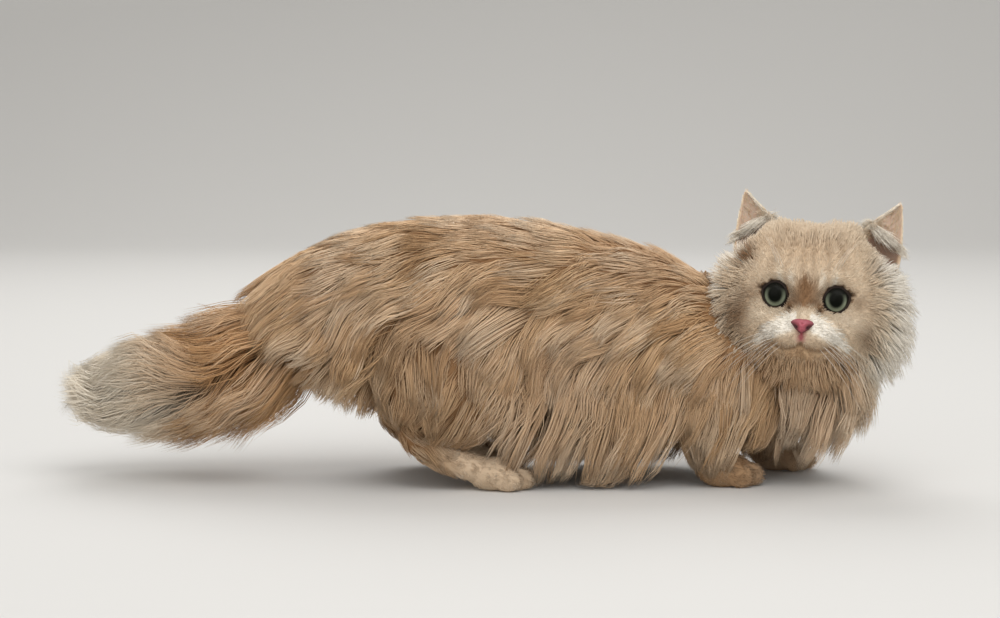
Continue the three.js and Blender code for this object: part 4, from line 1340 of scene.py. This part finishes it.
class CAT_OT_nose(bpy.types.Operator):
    """Make the nose leather with its nostrils and the line below it"""

    bl_idname = "cat.nose"
    bl_label = "Nose"

    def execute(self, context):
        look = chosen(context)
        mesh = ball_mesh("nose_tip", 72, 48)
        x, y, z = read(mesh.vertices).T
        place_vertices(mesh, to_frame(from_head(nose_surface(x, y, z))))
        upper_edge = 0.7 * ramp(z, 0.2, 0.8)
        edge = ramp(np.hypot(y * 1.1, z * 0.9), 0.5, 0.95) * (1 - upper_edge)
        # Where the nostrils lie, for the painted shade in them
        nostril_shade = bell(np.abs(y) - 0.66, 0.13) * bell(z + 0.12, 0.2) * (x > 0)
        write_attribute(mesh, "leather", np.stack([edge, nostril_shade, 0 * edge], axis=1))
        finish_piece(add_object("nose_tip", mesh, nose_material(look)), "nose_leather", "nose")
        return {"FINISHED"}


def nose_surface(x, y, z):
    """Points of the nose in the head's frame, from those of a ball: broad above, with holes and a cleft."""
    broad = np.clip(0.25 + 0.52 * (z + 1), 0, 1)
    square = 1 + 0.25 * (1 - x**2) * np.abs(y * z)
    rolled = 1.8 * np.maximum(0, z) + 0.9 * y**2 - 0.8
    ahead = NOSE_AT[0] + x * NOSE["deep"] / 2 - rolled
    aside = y * broad * square * NOSE["wide"] / 2
    upward = NOSE_AT[2] + z * square * NOSE["high"] / 2
    for out in SIDES.values():
        hole = bell(aside - out * (3.4 + 0.25 * (upward + 16)), 1.15) * bell(upward + 15.9, 1.0)
        ahead = ahead - 3.2 * hole * (x > 0)
    ahead = ahead - 0.7 * bell(aside, 0.55) * (x > 0) * (z < 0.5)
    return np.stack([ahead, aside, upward], axis=1)


def ear_surface(x, height, out):
    """Points of an ear in the head's frame: x from -1 to 1 across it, height from 0 at the root to 1."""
    half = EAR["wide"] / 2 * (1 - np.abs(height) ** 1.9) * (1 - 0.1 * height) + 1.0
    bend = 1.05 * x * (1 - 0.3 * height)
    cup = half * 1.12
    flare = 6.5 * np.maximum(x, 0) ** 1.5 * (1 - height)
    ahead = cup * 0.9 - cup * np.cos(bend) - 14 * np.abs(height) ** 1.5 + 3
    aside = -cup * np.sin(bend) * 1.06 - 1.5 * height - flare
    place = np.stack([ahead, aside, height * EAR["tall"] - EAR["sunk"]], axis=-1)
    place = place @ turned("X", -EAR["lean"]).T @ turned("Z", EAR["turn"]).T
    place[..., 1] *= out
    return place + np.array([EAR_AT["forward"], EAR_AT["aside"] * out + EAR_AT["shift"], EAR_AT["up"]])


class CAT_OT_ears(bpy.types.Operator):
    """Make the two cupped ears"""

    bl_idname = "cat.ears"
    bl_label = "Ears"

    def execute(self, context):
        look = chosen(context)
        material, fur = ear_material(look), fur_material("ear_fur", look, 0.35)
        for side, out in SIDES.items():
            mesh = mesh_from("ear", bmesh.ops.create_grid, x_segments=24, y_segments=24, size=1)
            x, height, _ = read(mesh.vertices).T
            height = (height + 1) / 2
            place_vertices(mesh, to_frame(from_head(ear_surface(x, height, out))))
            furred = ramp(x, 0.5, 0.8) * (1 - height)
            edge = np.clip(ramp(np.abs(x), 0.8, 1.0) + ramp(height, 0.93, 1.0) + furred, 0, 1)
            write_attribute(mesh, "ear", np.stack([np.zeros_like(x), edge, height], axis=1))
            ear = add_object("ear_shell_" + side, mesh, material)
            modify(ear, "SOLIDIFY", thickness=EAR_WALL * MM, offset=0)
            mark_inside(applied(ear).data, out)
            modify(ear, "SUBSURF", levels=1, render_levels=1)
            finish_piece(dress(applied(ear)), "ear_skin", "ear_" + side)
            ear_coat(side, fur)
        return {"FINISHED"}


def mark_inside(mesh, out):
    """Marks the faces of the ear that look into its cup."""
    layer = mesh.attributes["ear"].data
    values = read(layer, "vector")
    middle = ear_surface(np.zeros(1), np.full(1, 0.5), out)[0] + np.array([10.0, 6.0 * out, 0])
    toward = unit(middle - to_head(from_frame(read(mesh.vertices))))
    normals = read(mesh.vertices, "normal") @ HEAD_AXES
    values[:, 0] = ramp((normals * toward).sum(axis=1), 0.0, 0.3)
    layer.foreach_set("vector", values.ravel())


# Groups of an ear's hairs: count, range from edge to edge and up, way (towards the middle of the head,
# towards the tip, out of the cup), length, bend, how pale and how dark
EAR_HAIRS = [
    (560, (-1, 1), (0.05, 0.94), (0.0, 1.0, -0.42), 8, (0, 0, 0), 0.3, 0.1),
    (100, (-1.0, -0.94), (0.3, 0.95), (-0.3, 1.0, 0.1), 3, (0, 0, 0), 0.8, 0.0),
    (260, (0.8, 1.0), (0.3, 0.95), (-0.15, 1.0, 0.25), 6, (0, 0, 0), 0.85, 0.0),
    (220, (0.6, 1.0), (0.15, 0.6), (0.1, 1.0, 0.2), 7, (0, 0, 0), 0.5, 0.1),
    (170, (0.8, 1.0), (0.3, 0.55), (1.0, 0.1, 0.0), 12, (0, 0, -2.5), 0.85, 0.0),
    (200, (-0.8, 0.9), (0.4, 0.9), (-0.15, 1.0, 0.12), 6, (0, 0, 0), 0.35, 0.3),
    (210, (0.0, 0.9), (0.40, 0.52), (-1.0, -0.3, 0.65), 18, (0, 1, -3), 0.92, 0.0),
    (130, (-0.95, -0.5), (0.28, 0.42), (-1.0, -0.1, 0.65), 12, (0, 1, -3), 0.92, 0.0),
    (110, (-0.6, 0.9), (0.25, 0.4), (-0.6, 0.3, 0.3), 9, (0, 1, 0), 0.2, 0.6),
]
EAR_HAIR = {"seed": 701, "steps": 4, "tuft": 7, "width": 0.19, "step": 0.01}


def ear_coat(side, material):
    """Short hair on the back and edge of an ear, and long pale hair across its opening."""
    out, step = SIDES[side], EAR_HAIR["step"]
    draw = np.random.default_rng(EAR_HAIR["seed"] + out)
    turn = math.radians(EAR["turn"])
    inside = np.array([math.cos(turn), out * math.sin(turn), 0])
    groups = []
    for count, x, height, (across, upward, inward), length, bend, pale, dark in EAR_HAIRS:
        x, height = draw.uniform(*x, count), draw.uniform(*height, count)
        root = ear_surface(x, height, out)
        up = unit(ear_surface(x, height + step, out) - root)
        over = unit(ear_surface(x + step, height, out) - root)
        root = root + unit(inside * np.sign(inward))[None] * 0.9
        way = unit(over * across + up * upward + inside * inward + draw.normal(0, 0.16, (count, 3)))
        long = length * draw.uniform(0.6, 1.15, count)
        rows = np.array(bend) * [1, out, 1], [pale, 0.25, dark]
        groups.append((root - way * 1.2, way, long, *(np.tile(row, (count, 1)) for row in rows)))
    roots, ways, lengths, bends, marks_and_shade = (np.concatenate(rows) for rows in zip(*groups))
    count = len(roots)
    share = np.linspace(0, 1, EAR_HAIR["steps"])[None, :, None]
    paths = roots[:, None] + ways[:, None] * lengths[:, None, None] * share + bends[:, None] * share**2
    tuft = gathered(roots, EAR_HAIR["tuft"], draw)
    paths = paths - (paths - paths[tuft]) * 0.3 * share**1.3
    widths = EAR_HAIR["width"] * draw.uniform(0.7, 1.2, (count, 1)) * np.array([[0.9, 1.0, 0.7]])
    tone, lock = draw.uniform(0.3, 1, count), draw.uniform(0.4, 1, count)[tuft]
    spots = np.stack([(np.arange(count) % 50) / 50, (np.arange(count) // 50) / (count / 50 + 1)], axis=1)
    asides = np.tile(UP + 0.01, (count, 1))
    mesh = strand_mesh("ear_hair_" + side, from_head(paths), widths, asides, tone, lock, marks_and_shade, spots)
    finish_piece(add_object("ear_hair_" + side, mesh, material), "ear_skin")


class CAT_OT_body_coat(bpy.types.Operator):
    """Grow the long hair of back, flanks and belly"""

    bl_idname = "cat.body_coat"
    bl_label = "Body coat"

    def execute(self, context):
        look = chosen(context)
        fur = fur_material("body_fur", look)

        def fringed(normals):
            return ramp(-normals[:, 2], -0.3, 0.25)

        def length(roots, normals):
            x, z = roots[:, 0], roots[:, 2]
            low = -normals[:, 2]
            side = ramp(low, -0.85, -0.3)
            short = look.back + (look.flank - look.back) * side + 16 * ramp(-x, 90, 125)
            longest = look.belly * (0.42 + 0.58 * ramp(x, 0, 35))
            to_floor = 1.08 * z + 6 - 20 * ramp(x, 130, 145)
            hanging = np.minimum(longest, np.maximum(to_floor, 12)) * (1.08 - 0.45 * ramp(low, 0.6, 0.9))
            fringe = fringed(normals)
            return short * (1 - fringe) + hanging * fringe

        def lift(roots, normals):
            low = -normals[:, 2]
            rump = ramp(-roots[:, 0], 90, 125)
            return 4.5 + 4.5 * ramp(low, -0.8, -0.2) - 3.0 * ramp(low, 0.1, 0.6) + 7 * rump

        def free(roots, normals):
            return np.maximum(0.9 * fringed(normals), 0.75 * ramp(-roots[:, 0], 95, 130))

        def on_back(roots, normals):
            return ramp(normals[:, 2], 0.4, 0.6)

        def on_flank(roots, normals):
            low = -normals[:, 2]
            shoulder = 1 + 1.2 * ramp(roots[:, 0], 115, 145)
            return ramp(low, -0.62, -0.42) * ramp(-low, -0.3, -0.1) * shoulder

        def on_hem(roots, normals):
            low = -normals[:, 2]
            return ramp(low, -0.1, 0.15) * (1 - 0.65 * ramp(low, 0.65, 0.95))

        def half(out, share):
            return lambda roots, normals: (roots[:, 1] * out > 0) * share(roots, normals)

        base = {"parts": ["torso"], "length": length, "lift": lift, "free": free}
        grow(Region("coat_back", 101, count=7000, keep=on_back, steps=4, swing=0.8, lock=40, **base), fur)
        for seed, (side, out) in enumerate(SIDES.items(), 102):
            grow(Region("coat_flank_" + side, seed, count=6700, keep=half(out, on_flank), **base), fur)
        base.update(lock=36, gather=(0.5, 0.5))
        for seed, (side, out) in enumerate(SIDES.items(), 104):
            grow(Region("coat_hem_" + side, seed, count=4300, keep=half(out, on_hem), **base), fur)
        return {"FINISHED"}


class CAT_OT_ruff(bpy.types.Operator):
    """Grow the ruff of neck and chest"""

    bl_idname = "cat.ruff"
    bl_label = "Ruff"

    def execute(self, context):
        look = chosen(context)

        def length(roots, normals):
            return np.minimum(look.ruff, np.maximum(roots[:, 2] - 9, 14))

        region = Region(
            "coat_ruff", 211, ["neck", "chest"], 7200, length,
            lift=lambda p, n: 7 + 19 * ramp(n[:, 0], 0, 0.7) * ramp(p[:, 2], 45, 70),
            free=lambda p, n: 0.6 + 0.25 * ramp(-n[:, 2], -0.1, 0.4),
            keep=lambda p, n: 1 + ramp(n[:, 0], 0.2, 0.6) + 1.5 * ramp(p[:, 2], 85, 105),
            rise=0.6, width=0.36, uneven=0.3,
        )
        grow(region, fur_material("ruff_fur", look))
        return {"FINISHED"}


class CAT_OT_tail_coat(bpy.types.Operator):
    """Grow the plume of the tail"""

    bl_idname = "cat.tail_coat"
    bl_label = "Tail"

    def execute(self, context):
        look = chosen(context)

        def length(roots, normals):
            return np.minimum(look.tail, (roots[:, 0] + 263) * 1.05 + 1)

        def lift(roots, normals):
            base = bell(roots[:, 0] + 128, 32)
            top = ramp(normals[:, 2], 0, 0.7)
            above = top * (4 * base + 8 * ramp(-roots[:, 0], 120, 150))
            return (24 + 9 * base - above) * (1 - 0.2 * ramp(-roots[:, 0], 225, 262))

        region = Region(
            "coat_tail", 307, ["tail"], 7100, length, lift,
            free=lambda p, n: 0.2 + 0.8 * ramp(-p[:, 0], 228, 246),
            frizz=1.0, swing=2.0, gather=(0.4, 0.3), rise=0.55,
        )
        grow(region, fur_material("tail_fur", look))
        return {"FINISHED"}


class CAT_OT_leg_coat(bpy.types.Operator):
    """Grow the hair of thighs, forelegs, hocks and feet"""

    bl_idname = "cat.leg_coat"
    bl_label = "Legs and feet"

    def execute(self, context):
        look = chosen(context)
        fur, paw_fur = fur_material("leg_fur", look), fur_material("paw_fur", look, 0.7)
        heel = max(x for x, _ in FEET["hindpaw"].values())

        def length(roots, normals):
            return np.minimum(look.leg, np.maximum(roots[:, 2] - 4, 9))

        def hock_length(roots, normals):
            return look.paw + 10 * ramp(heel - roots[:, 0], 24, 46)

        def both(*names):
            return [f"{name}_{side}" for name in names for side in SIDES]

        legs = Region(
            "coat_legs", 401, both("thigh", "foreleg"), 5600, length, lift=5, free=0.4, steps=4, lock=40,
            swing=1.0,
        )
        hocks = Region(
            "coat_hocks", 409, both("hock"), 3200, hock_length, lift=lambda p, n: 0.16 * hock_length(p, n),
            free=0.1, steps=4, width=0.26, frizz=0.4, swing=0.4, lock=20, slot="paw_fur", clear=0.6,
        )
        feet = Region(
            "coat_feet", 419, both("forepaw", "hindpaw"), 8000, look.paw, lift=0.8, steps=3, width=0.2,
            frizz=0.25, swing=0.1, tuft=6, lock=24, gather=(0.35, 0.15), hugging=False, slot="paw_fur",
            clear=0.4, wander=0.2,
        )
        for region, material in ((legs, fur), (hocks, fur), (feet, paw_fur)):
            grow(region, material)
        return {"FINISHED"}


class CAT_OT_head_coat(bpy.types.Operator):
    """Grow the short hair of the face and the longer hair of cheeks and crown"""

    bl_idname = "cat.head_coat"
    bl_label = "Head coat"

    def execute(self, context):
        look = chosen(context)
        fur = fur_material("face_fur", look, 0.4)
        short, gain = look.face, look.cheek - look.face

        def longer(roots):
            """How far a place's hair is from the face's length to the cheeks'."""
            _, off, height = face_angles(roots)
            cheek = ramp(off, 46, 82) * ramp(-height, -58, -15) * (0.8 + 0.3 * ramp(-height, 0, 30))
            crown = (0.18 + 0.3 * ramp(off, 60, 110)) * ramp(height, 32, 60)
            chin = 0.9 * ramp(-height, 38, 54)
            back = ramp(off, 85, 120) * ramp(-height, -60, -30)
            before_ear = np.clip(1.5 * beside_ear(roots, EAR_FOOT, EAR_FOOT_SPREAD), 0, 1)
            return np.clip(cheek + crown + chin + back, 0, 1.1) * (1 - 0.92 * before_ear)

        def on_face(roots, normals):
            bare = bare_skin(roots)
            covered = (off_eyes(roots) >= 0.4) * (1 - np.minimum((bare[:, 0] + bare[:, 1]) * 1.6, 1))
            return (longer(roots) < 0.2) * (1 + 2.5 * near_eye(roots)) * covered

        def length(roots, normals):
            _, off, height = face_angles(roots)
            near_nose = bell(off, 13) * bell(height + 18, 10)
            pads = 3.2 * moustache(off, height - 1)[0] * ramp(off, 8, 16)
            on_skin = short * (1 - 0.5 * near_nose) * (1 - 0.45 * near_eye(roots))
            return on_skin + pads + gain * longer(roots)

        def lift(roots, normals):
            _, off, height = face_angles(roots)
            outward = 0.4 + 0.25 * bell(off - 80, 26) * bell(height + 4, 30)
            return 0.13 * short + outward * gain * longer(roots)

        def free(roots, normals):
            _, off, height = face_angles(roots)
            return 0.1 + 0.55 * ramp(off, 50, 68) * ramp(-off, -118, -95) + 0.6 * ramp(-height, 36, 50)

        face = Region(
            "coat_face", 503, ["head"], 16000, length, lift, keep=on_face, steps=3, width=0.21, tuft=6,
            lock=30, gather=(0.15, 0.08), frizz=0.15, swing=0.08, hugging=False, wander=0.12,
        )
        cheeks = Region(
            "coat_cheeks", 509, ["head"], 9500, length, lift, free, lambda p, n: longer(p) >= 0.15, steps=4,
            width=0.3, lock=24, swing=0.7, rise=0.65, gather=(0.3, 0.3), wander=0.18,
        )
        for region in (face, cheeks):
            grow(region, fur)
        return {"FINISHED"}


class CAT_OT_whiskers(bpy.types.Operator):
    """Make the whiskers of lips and brows"""

    bl_idname = "cat.whiskers"
    bl_label = "Whiskers"

    def execute(self, context):
        draw = np.random.default_rng(601)
        share = np.linspace(0, 1, 8)[:, None]
        paths = []

        def whisker(bearing, height, ahead, long, bend):
            at = head_direction(bearing, height)
            root = at * (head_reach(at[None])[0] - 1)
            paths.append(root + unit(np.array(ahead)) * long * share + np.array(bend) * share**2)

        for out in SIDES.values():
            for row in range(3):
                for column in range(4):
                    long = draw.uniform(30, 42)
                    tilt = -0.3 - row * 0.25 + draw.normal(0, 0.06)
                    ahead = (0.12 - 0.12 * column, out * 0.9, tilt)
                    bend = np.array([-0.35, 0, -0.3]) * long
                    whisker(out * (15 + column * 5), -26 - row * 3.4, ahead, long, bend)
            for hair in range(3):
                whisker(out * (24 + hair * 4), 27 + hair * 2, (0.1, out * 0.35, 0.9), 18, (-3.0, out * 3, 0))
        count = len(paths)
        widths = np.full((count, 7), 0.16) * np.linspace(1, 0.4, 7)
        plain, asides = np.zeros(count), np.tile(UP + 0.01, (count, 1))
        spots = np.stack([np.linspace(0.05, 0.9, count), np.full(count, 0.5)], axis=1)
        marks_and_shade = np.zeros((count, 3))
        paths = from_head(np.array(paths))
        mesh = strand_mesh("whiskers", paths, widths, asides, plain, plain, marks_and_shade, spots, flat=1.0)
        material = patched_material(
            "whisker", (0.86, 0.82, 0.75), (0.62, 0.55, 0.46), 90, (0.3, 0.5), detail=2, Coat_Roughness=0.2
        )
        finish_piece(add_object("whiskers", mesh, material), "coat")
        return {"FINISHED"}


class CAT_OT_stage(bpy.types.Operator):
    """Make the floor, the studio light and the camera"""

    bl_idname = "cat.stage"
    bl_label = "Stage"

    def execute(self, context):
        look = chosen(context)
        material = patched_material(
            "stage_floor", look.floor, scaled(look.floor, 0.94), 1.5, (0.7, 0.8), amount=0.3
        )
        floor = add_object("floor", mesh_from("floor", swept_floor), material)
        for name, place, size, power in LAMPS:
            light = bpy.data.lights.new(name, "AREA")
            light.size = size
            light.energy = power
            facing = (LAMPS_AIM - Vector(place)).to_track_quat("-Z", "Y").to_euler()
            add_to_stage(name, light, place, facing)
        world = bpy.data.worlds.new("studio")
        world.use_nodes = True
        light = world.node_tree.nodes["Background"].inputs
        light["Color"].default_value = (1.0, 0.985, 0.96, 1)
        light["Strength"].default_value = 0.56
        context.scene.world = world
        context.scene.view_settings.view_transform = "Standard"
        rise = math.radians(CAMERA["rise"])
        away = Vector((0, -math.cos(rise), math.sin(rise)))
        place = Vector(to_frame(np.array(CAMERA["at"])).tolist()) + away * CAMERA["away"]
        lens = bpy.data.cameras.new("camera")
        lens.lens = CAMERA["lens"]
        lens.sensor_width = 36
        context.scene.camera = add_to_stage("camera", lens, place, away.to_track_quat("Z", "Y").to_euler())
        return {"FINISHED"}


def swept_floor(bm):
    """A floor that bends up into a wall behind."""
    bmesh.ops.create_grid(bm, x_segments=1, y_segments=1, size=3)
    back = [e for e in bm.edges if all(v.co.y > 2.9 for v in e.verts)]
    raised = bmesh.ops.extrude_edge_only(bm, edges=back)["geom"]
    wall = [v for v in raised if isinstance(v, bmesh.types.BMVert)]
    bmesh.ops.translate(bm, verts=wall, vec=(0, 0, 3))
    corner = [e for e in bm.edges if all(v.co.y > 2.9 and v.co.z < 0.1 for v in e.verts)]
    bmesh.ops.bevel(bm, geom=corner, offset=1.0, affect="EDGES", segments=12, profile=0.5, material=-1)


def add_to_stage(name, data, place, facing):
    added = bpy.data.objects.new(name, data)
    added.location = place
    added.rotation_euler = facing
    bpy.context.scene.collection.objects.link(added)
    return added


FACE_OPERATORS = CAT_OT_skin, CAT_OT_eyes, CAT_OT_nose, CAT_OT_ears
COAT_OPERATORS = CAT_OT_body_coat, CAT_OT_ruff, CAT_OT_tail_coat, CAT_OT_leg_coat, CAT_OT_head_coat
OPERATORS = (*FACE_OPERATORS, *COAT_OPERATORS, CAT_OT_whiskers, CAT_OT_stage)


class CAT_PT_panel(bpy.types.Panel):
    """Sizes, colours and pieces of the cat"""

    bl_idname = "CAT_PT_panel"
    bl_label = "Longhaired cat"
    bl_space_type = "VIEW_3D"
    bl_region_type = "UI"
    bl_category = "Cat"

    def draw(self, context):
        for settings in (context.scene.cat_coat, context.scene.cat_colours):
            column = self.layout.column()
            for name in settings.__annotations__:
                column.prop(settings, name)
        for operator in OPERATORS:
            self.layout.operator(operator.bl_idname)


CLASSES = (CatCoatSettings, CatColourSettings, *OPERATORS, CAT_PT_panel)


def register():
    for one in CLASSES:
        bpy.utils.register_class(one)
    bpy.types.Scene.cat_coat = bpy.props.PointerProperty(type=CatCoatSettings)
    bpy.types.Scene.cat_colours = bpy.props.PointerProperty(type=CatColourSettings)


def unregister():
    del bpy.types.Scene.cat_coat
    del bpy.types.Scene.cat_colours
    for one in reversed(CLASSES):
        bpy.utils.unregister_class(one)


def main():
    register()
    for operator in OPERATORS:
        group, name = operator.bl_idname.split(".")
        getattr(getattr(bpy.ops, group), name)()


if __name__ == "__main__":
    main()
